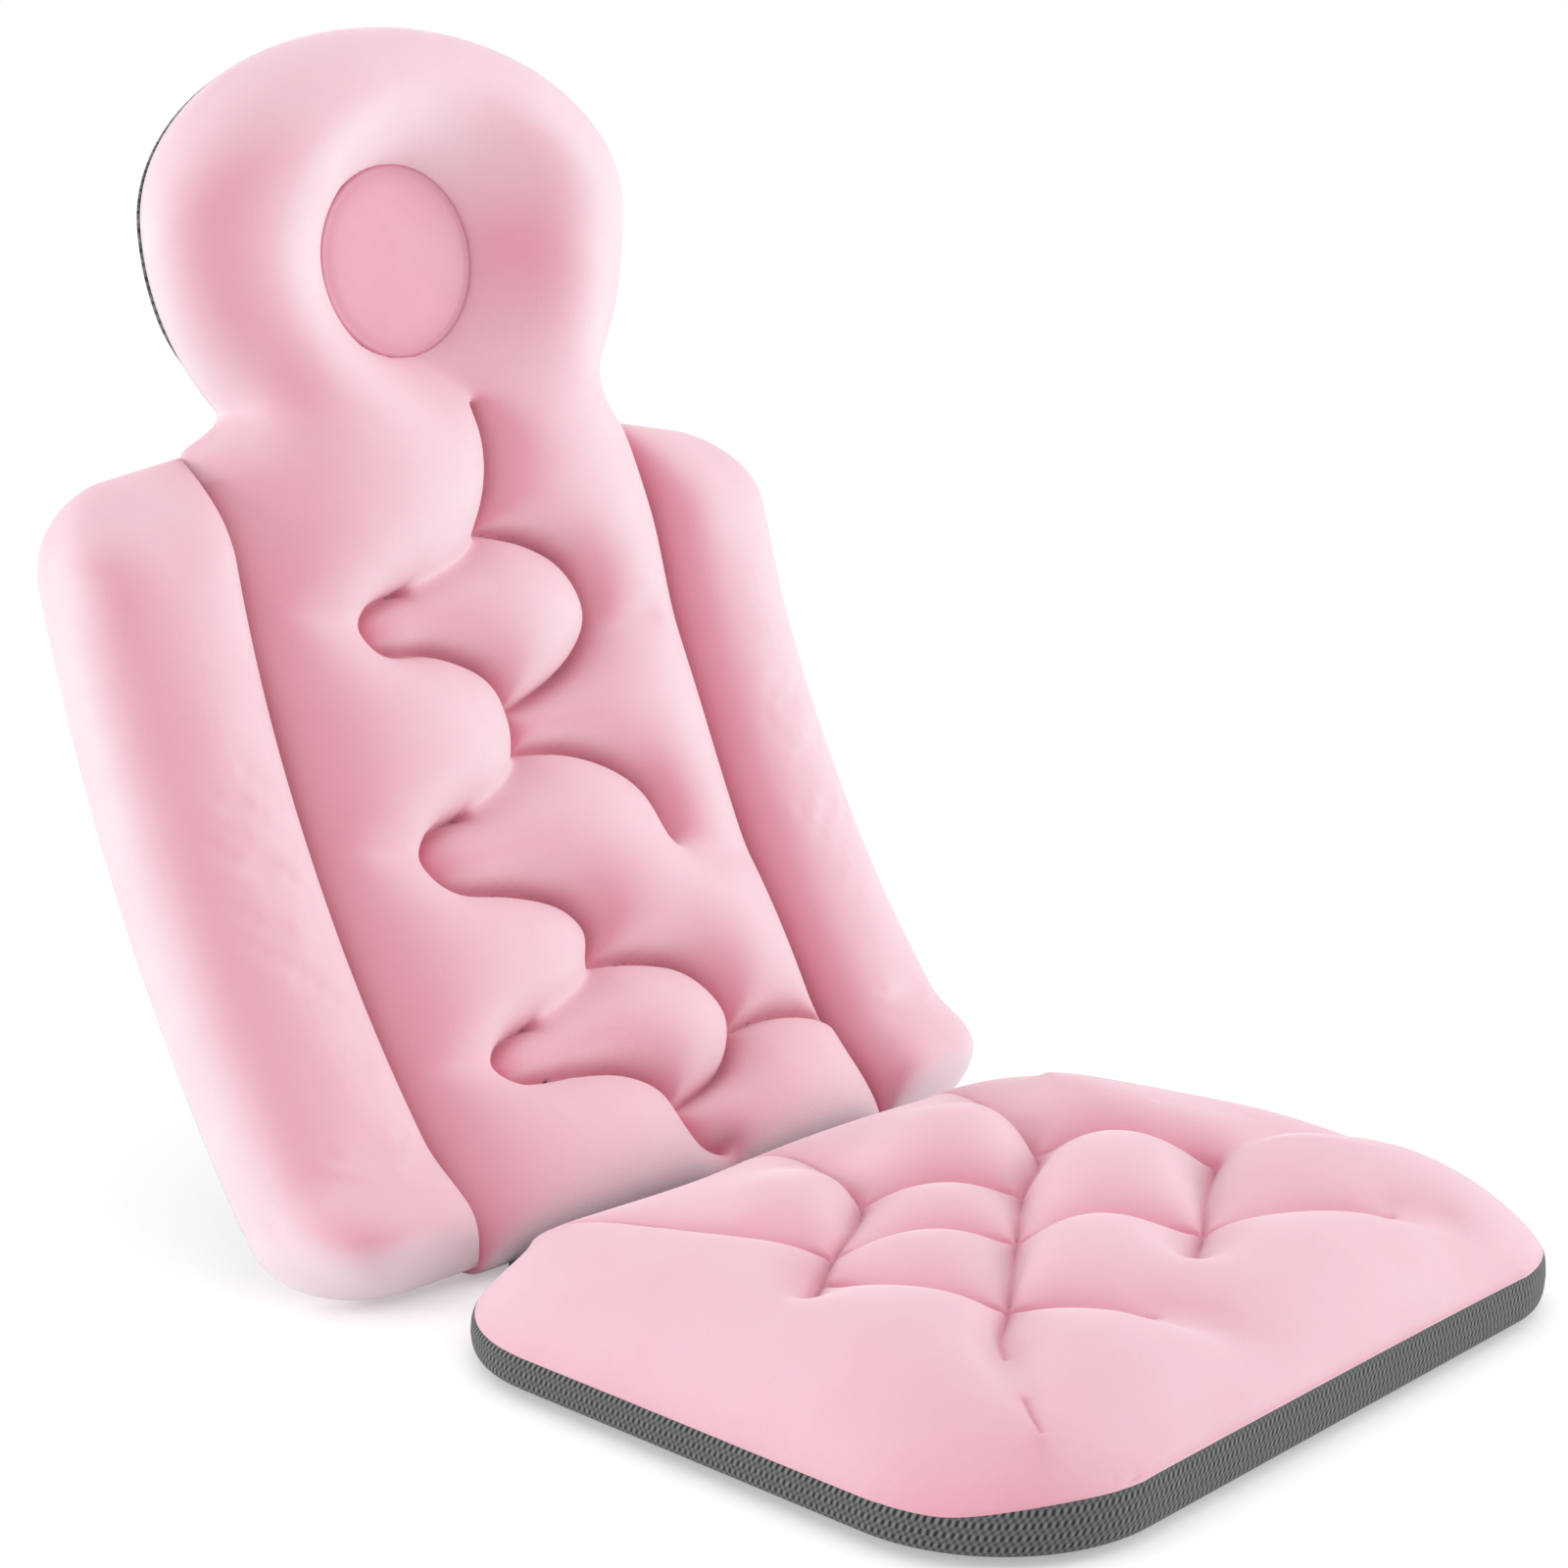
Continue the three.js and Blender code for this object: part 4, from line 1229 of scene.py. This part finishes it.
# Fold web
# A strip of the grey mesh from under the rear of the seat to the rolled lower end of the back.
# It is the hinge between them, and is sewn flat to both.
web_half_width = 0.113
web_thickness = 0.0025
web_start = seat_rear + 0.0003
web_end = fold_y - 0.0207
web_columns = 60
web_rows = 16
web, spread = new_grid("fold_web_strip", web_columns, web_rows)
web_x = spread[:, 0] * web_half_width
web_y = np.interp(spread[:, 1], [-1, 1], [web_start, web_end])
set_points(web, np.column_stack([web_x, web_y, np.full(len(spread), stand_off)]))
set_weave(web, web_x, web_y)
edit_all(web, thickening(web_thickness))
edit_all(web, facing_out)
web.data.materials.clear()
web.data.materials.append(grey_mesh)
web.data.shade_smooth()
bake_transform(web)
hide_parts("fold_web")

# Suction cups and eyelets
# Soft clear vinyl cups that grip the tub, four under the seat and six behind the back and the head.
# Each has a button head that is pushed through a moulded eyelet in the mesh.
cup_radius = 0.022
cup_rim = 0.0045
cup_hollow = 0.0018
cup_body = 0.0035
cup_sides = 64
stem_radius = 0.0046
button_radius = 0.008
button_level = 0.0083
button_thickness = 0.0022
eyelet_radius = 0.009
eyelet_flange = 0.0009
eyelet_sides = 48
eyelet_gap = 0.0003
flow_scale = 160
flow_gloss = 0.2
flow_bump = (0.1, 0.0002)
vinyl_roughness = 0.12
vinyl_clear = 0.7
eyelet_roughness = 0.4
vinyl_tint = (0.80, 0.86, 0.88, 1)
vinyl_worn = (0.66, 0.74, 0.77, 1)
eyelet_grey = (0.145, 0.165, 0.158, 1)
eyelet_worn = (0.105, 0.120, 0.115, 1)


def moulded_material(name, colour, worn, roughness, clear):
    """Moulded plastic: faint flow marks in its tone and gloss, clear or solid."""
    material, tree, surface = new_material(name, {"IOR": 1.48, "Transmission Weight": clear})
    place = tree.nodes.new("ShaderNodeTexCoord")
    flow = noise_node(tree, place.outputs["Object"], flow_scale, detail=4)
    tree.links.new(mix_tones(tree, colour, worn, flow), surface.inputs["Base Color"])
    gloss = math_node(tree, "MULTIPLY_ADD", flow, flow_gloss, roughness)
    tree.links.new(gloss, surface.inputs["Roughness"])
    add_relief(tree, surface, flow, *flow_bump)
    return material


cup_inner = cup_radius - cup_rim
button_top = button_level + button_thickness
cup_profile = [
    (0.001, cup_hollow),
    (cup_inner * 0.55, cup_hollow * 0.85),
    (cup_inner * 0.85, cup_hollow * 0.40),
    (cup_inner, 0),
    (cup_radius * 0.92, 0),
    (cup_radius * 0.99, 0.0003),
    (cup_radius, 0.0007),
    (cup_radius * 0.97, 0.0011),
    (cup_radius * 0.73, cup_body * 0.60),
    (cup_radius * 0.55, cup_body * 0.83),
    (cup_radius * 0.41, cup_body * 0.94),
    (stem_radius * 1.5, cup_body * 0.98),
    (stem_radius * 1.1, cup_body),
    (stem_radius, cup_body + 0.0005),
    (stem_radius, button_level - 0.0003),
    (button_radius * 0.95, button_level),
    (button_radius, button_level + 0.0004),
    (button_radius, button_level + button_thickness * 0.6),
    (button_radius * 0.9, button_top - 0.0002),
    (button_radius * 0.7, button_top),
    (0.001, button_top),
]
eyelet_bore = stem_radius + eyelet_gap
eyelet_wall = eyelet_bore + 0.0012
eyelet_low = cup_body + eyelet_gap
eyelet_top = eyelet_low + eyelet_flange
eyelet_end = button_level - eyelet_gap
eyelet_profile = [
    (eyelet_bore, eyelet_low),
    (eyelet_radius - 0.0005, eyelet_low),
    (eyelet_radius, eyelet_low + 0.0003),
    (eyelet_radius, eyelet_top - 0.0003),
    (eyelet_radius - 0.0005, eyelet_top),
    (eyelet_wall, eyelet_top),
    (eyelet_wall, eyelet_end),
    (eyelet_bore, eyelet_end),
    (eyelet_bore, eyelet_low),
]
seat_cup_inset = 0.075
cup_places = []
for depth_name, y in [("rear", seat_rear - seat_cup_inset), ("front", seat_front + seat_cup_inset)]:
    for side_name, side in [("left", -1), ("right", 1)]:
        spot = Matrix.Translation((side * (seat_half_width - seat_cup_inset), y, 0))
        cup_places.append((f"seat_{depth_name}_{side_name}", "seat", spot))
back_cup_rows = [("back_lower", 0.085, 0.075), ("back_upper", 0.085, 0.275), ("head", 0.062, 0.485)]
for row_name, out, up in back_cup_rows:
    for side_name, side in [("left", -1), ("right", 1)]:
        cup_places.append((f"{row_name}_{side_name}", "back", back_frame(side * out, up, -stand_off)))

soft_vinyl = moulded_material("soft_vinyl", vinyl_tint, vinyl_worn, vinyl_roughness, vinyl_clear)
eyelet_plastic = moulded_material("eyelet_plastic", eyelet_grey, eyelet_worn, eyelet_roughness, 0)
cup_pattern = turned_piece("cup_pattern", cup_profile, cup_sides)
eyelet_pattern = turned_piece("eyelet_pattern", eyelet_profile, eyelet_sides)
cup_kinds = [
    (cup_pattern, "cup", "soft_vinyl", soft_vinyl),
    (eyelet_pattern, "eyelet", "eyelet_plastic", eyelet_plastic),
]
for place_name, body, spot in cup_places:
    for pattern, kind, slot, finish in cup_kinds:
        copy = pattern.copy()
        copy.data = pattern.data.copy()
        copy.name = f"{place_name}_{kind}_turned"
        copy.data.name = copy.name
        bpy.context.collection.objects.link(copy)
        copy.data.transform(spot)
        finish_piece(copy, finish, body, f"{place_name}_{kind}")
for pattern in [cup_pattern, eyelet_pattern]:
    bpy.data.objects.remove(pattern)

# Stage
# A plain white floor and backdrop under soft studio light, seen from low at the seat's front left corner.
floor_size = 40
camera_place = Vector((-0.8905, fold_y - 0.9118, 0.4632))
camera_aim = Vector((0.71283, 0.67018, -0.20690))
camera_lens = 67.5
camera_sensor = 36
light_aim = Vector((0, 0, 0.25))
ambient = 0.84
floor_glow = 0.33


def seen_rays(tree):
    """1 for the rays that show the studio to the camera, straight or by way of gloss and clear vinyl."""
    rays = tree.nodes.new("ShaderNodeLightPath")
    seen = math_node(tree, "MAXIMUM", rays.outputs["Is Camera Ray"], rays.outputs["Is Glossy Ray"])
    return math_node(tree, "MAXIMUM", seen, rays.outputs["Is Transmission Ray"])


bpy.ops.object.select_all(action="DESELECT")
bpy.ops.mesh.primitive_plane_add(size=floor_size)
floor = bpy.context.object
floor.name = "studio_floor"
floor_settings = {
    "Base Color": (0.9, 0.9, 0.9, 1),
    "Roughness": 1,
    "Specular IOR Level": 0,
    "Emission Color": (1, 1, 1, 1),
}
floor_white, tree, surface = new_material("studio_white", floor_settings)
glow = math_node(tree, "MULTIPLY", seen_rays(tree), floor_glow)
tree.links.new(glow, surface.inputs["Emission Strength"])
floor.data.materials.append(floor_white)

world = bpy.data.worlds.new("studio")
bpy.context.scene.world = world
world.use_nodes = True
tree = world.node_tree
sky = tree.nodes["Background"]
sky.inputs["Color"].default_value = (1, 1, 1, 1)
brightness = math_node(tree, "MULTIPLY_ADD", seen_rays(tree), 1 - ambient, ambient)
tree.links.new(brightness, sky.inputs["Strength"])

for name, place, size, power in [
    ("left_light", (-4.1, 2.7, 0.9), 2.5, 85),
    ("right_light", (3.7, -3.1, 1.3), 2.5, 75),
    ("top_light", (0.3, 0.4, 2.2), 1.4, 2),
]:
    lamp = bpy.data.lights.new(name, "AREA")
    lamp.size = size
    lamp.energy = power
    holder = bpy.data.objects.new(name, lamp)
    bpy.context.collection.objects.link(holder)
    holder.location = place
    holder.rotation_euler = (light_aim - Vector(place)).to_track_quat("-Z", "Y").to_euler()

lens = bpy.data.cameras.new("photo_camera")
lens.lens = camera_lens
lens.sensor_width = camera_sensor
camera = bpy.data.objects.new("photo_camera", lens)
bpy.context.collection.objects.link(camera)
camera.location = camera_place
camera.rotation_euler = camera_aim.to_track_quat("-Z", "Y").to_euler()
bpy.context.scene.camera = camera
bpy.context.scene.view_settings.view_transform = "Standard"
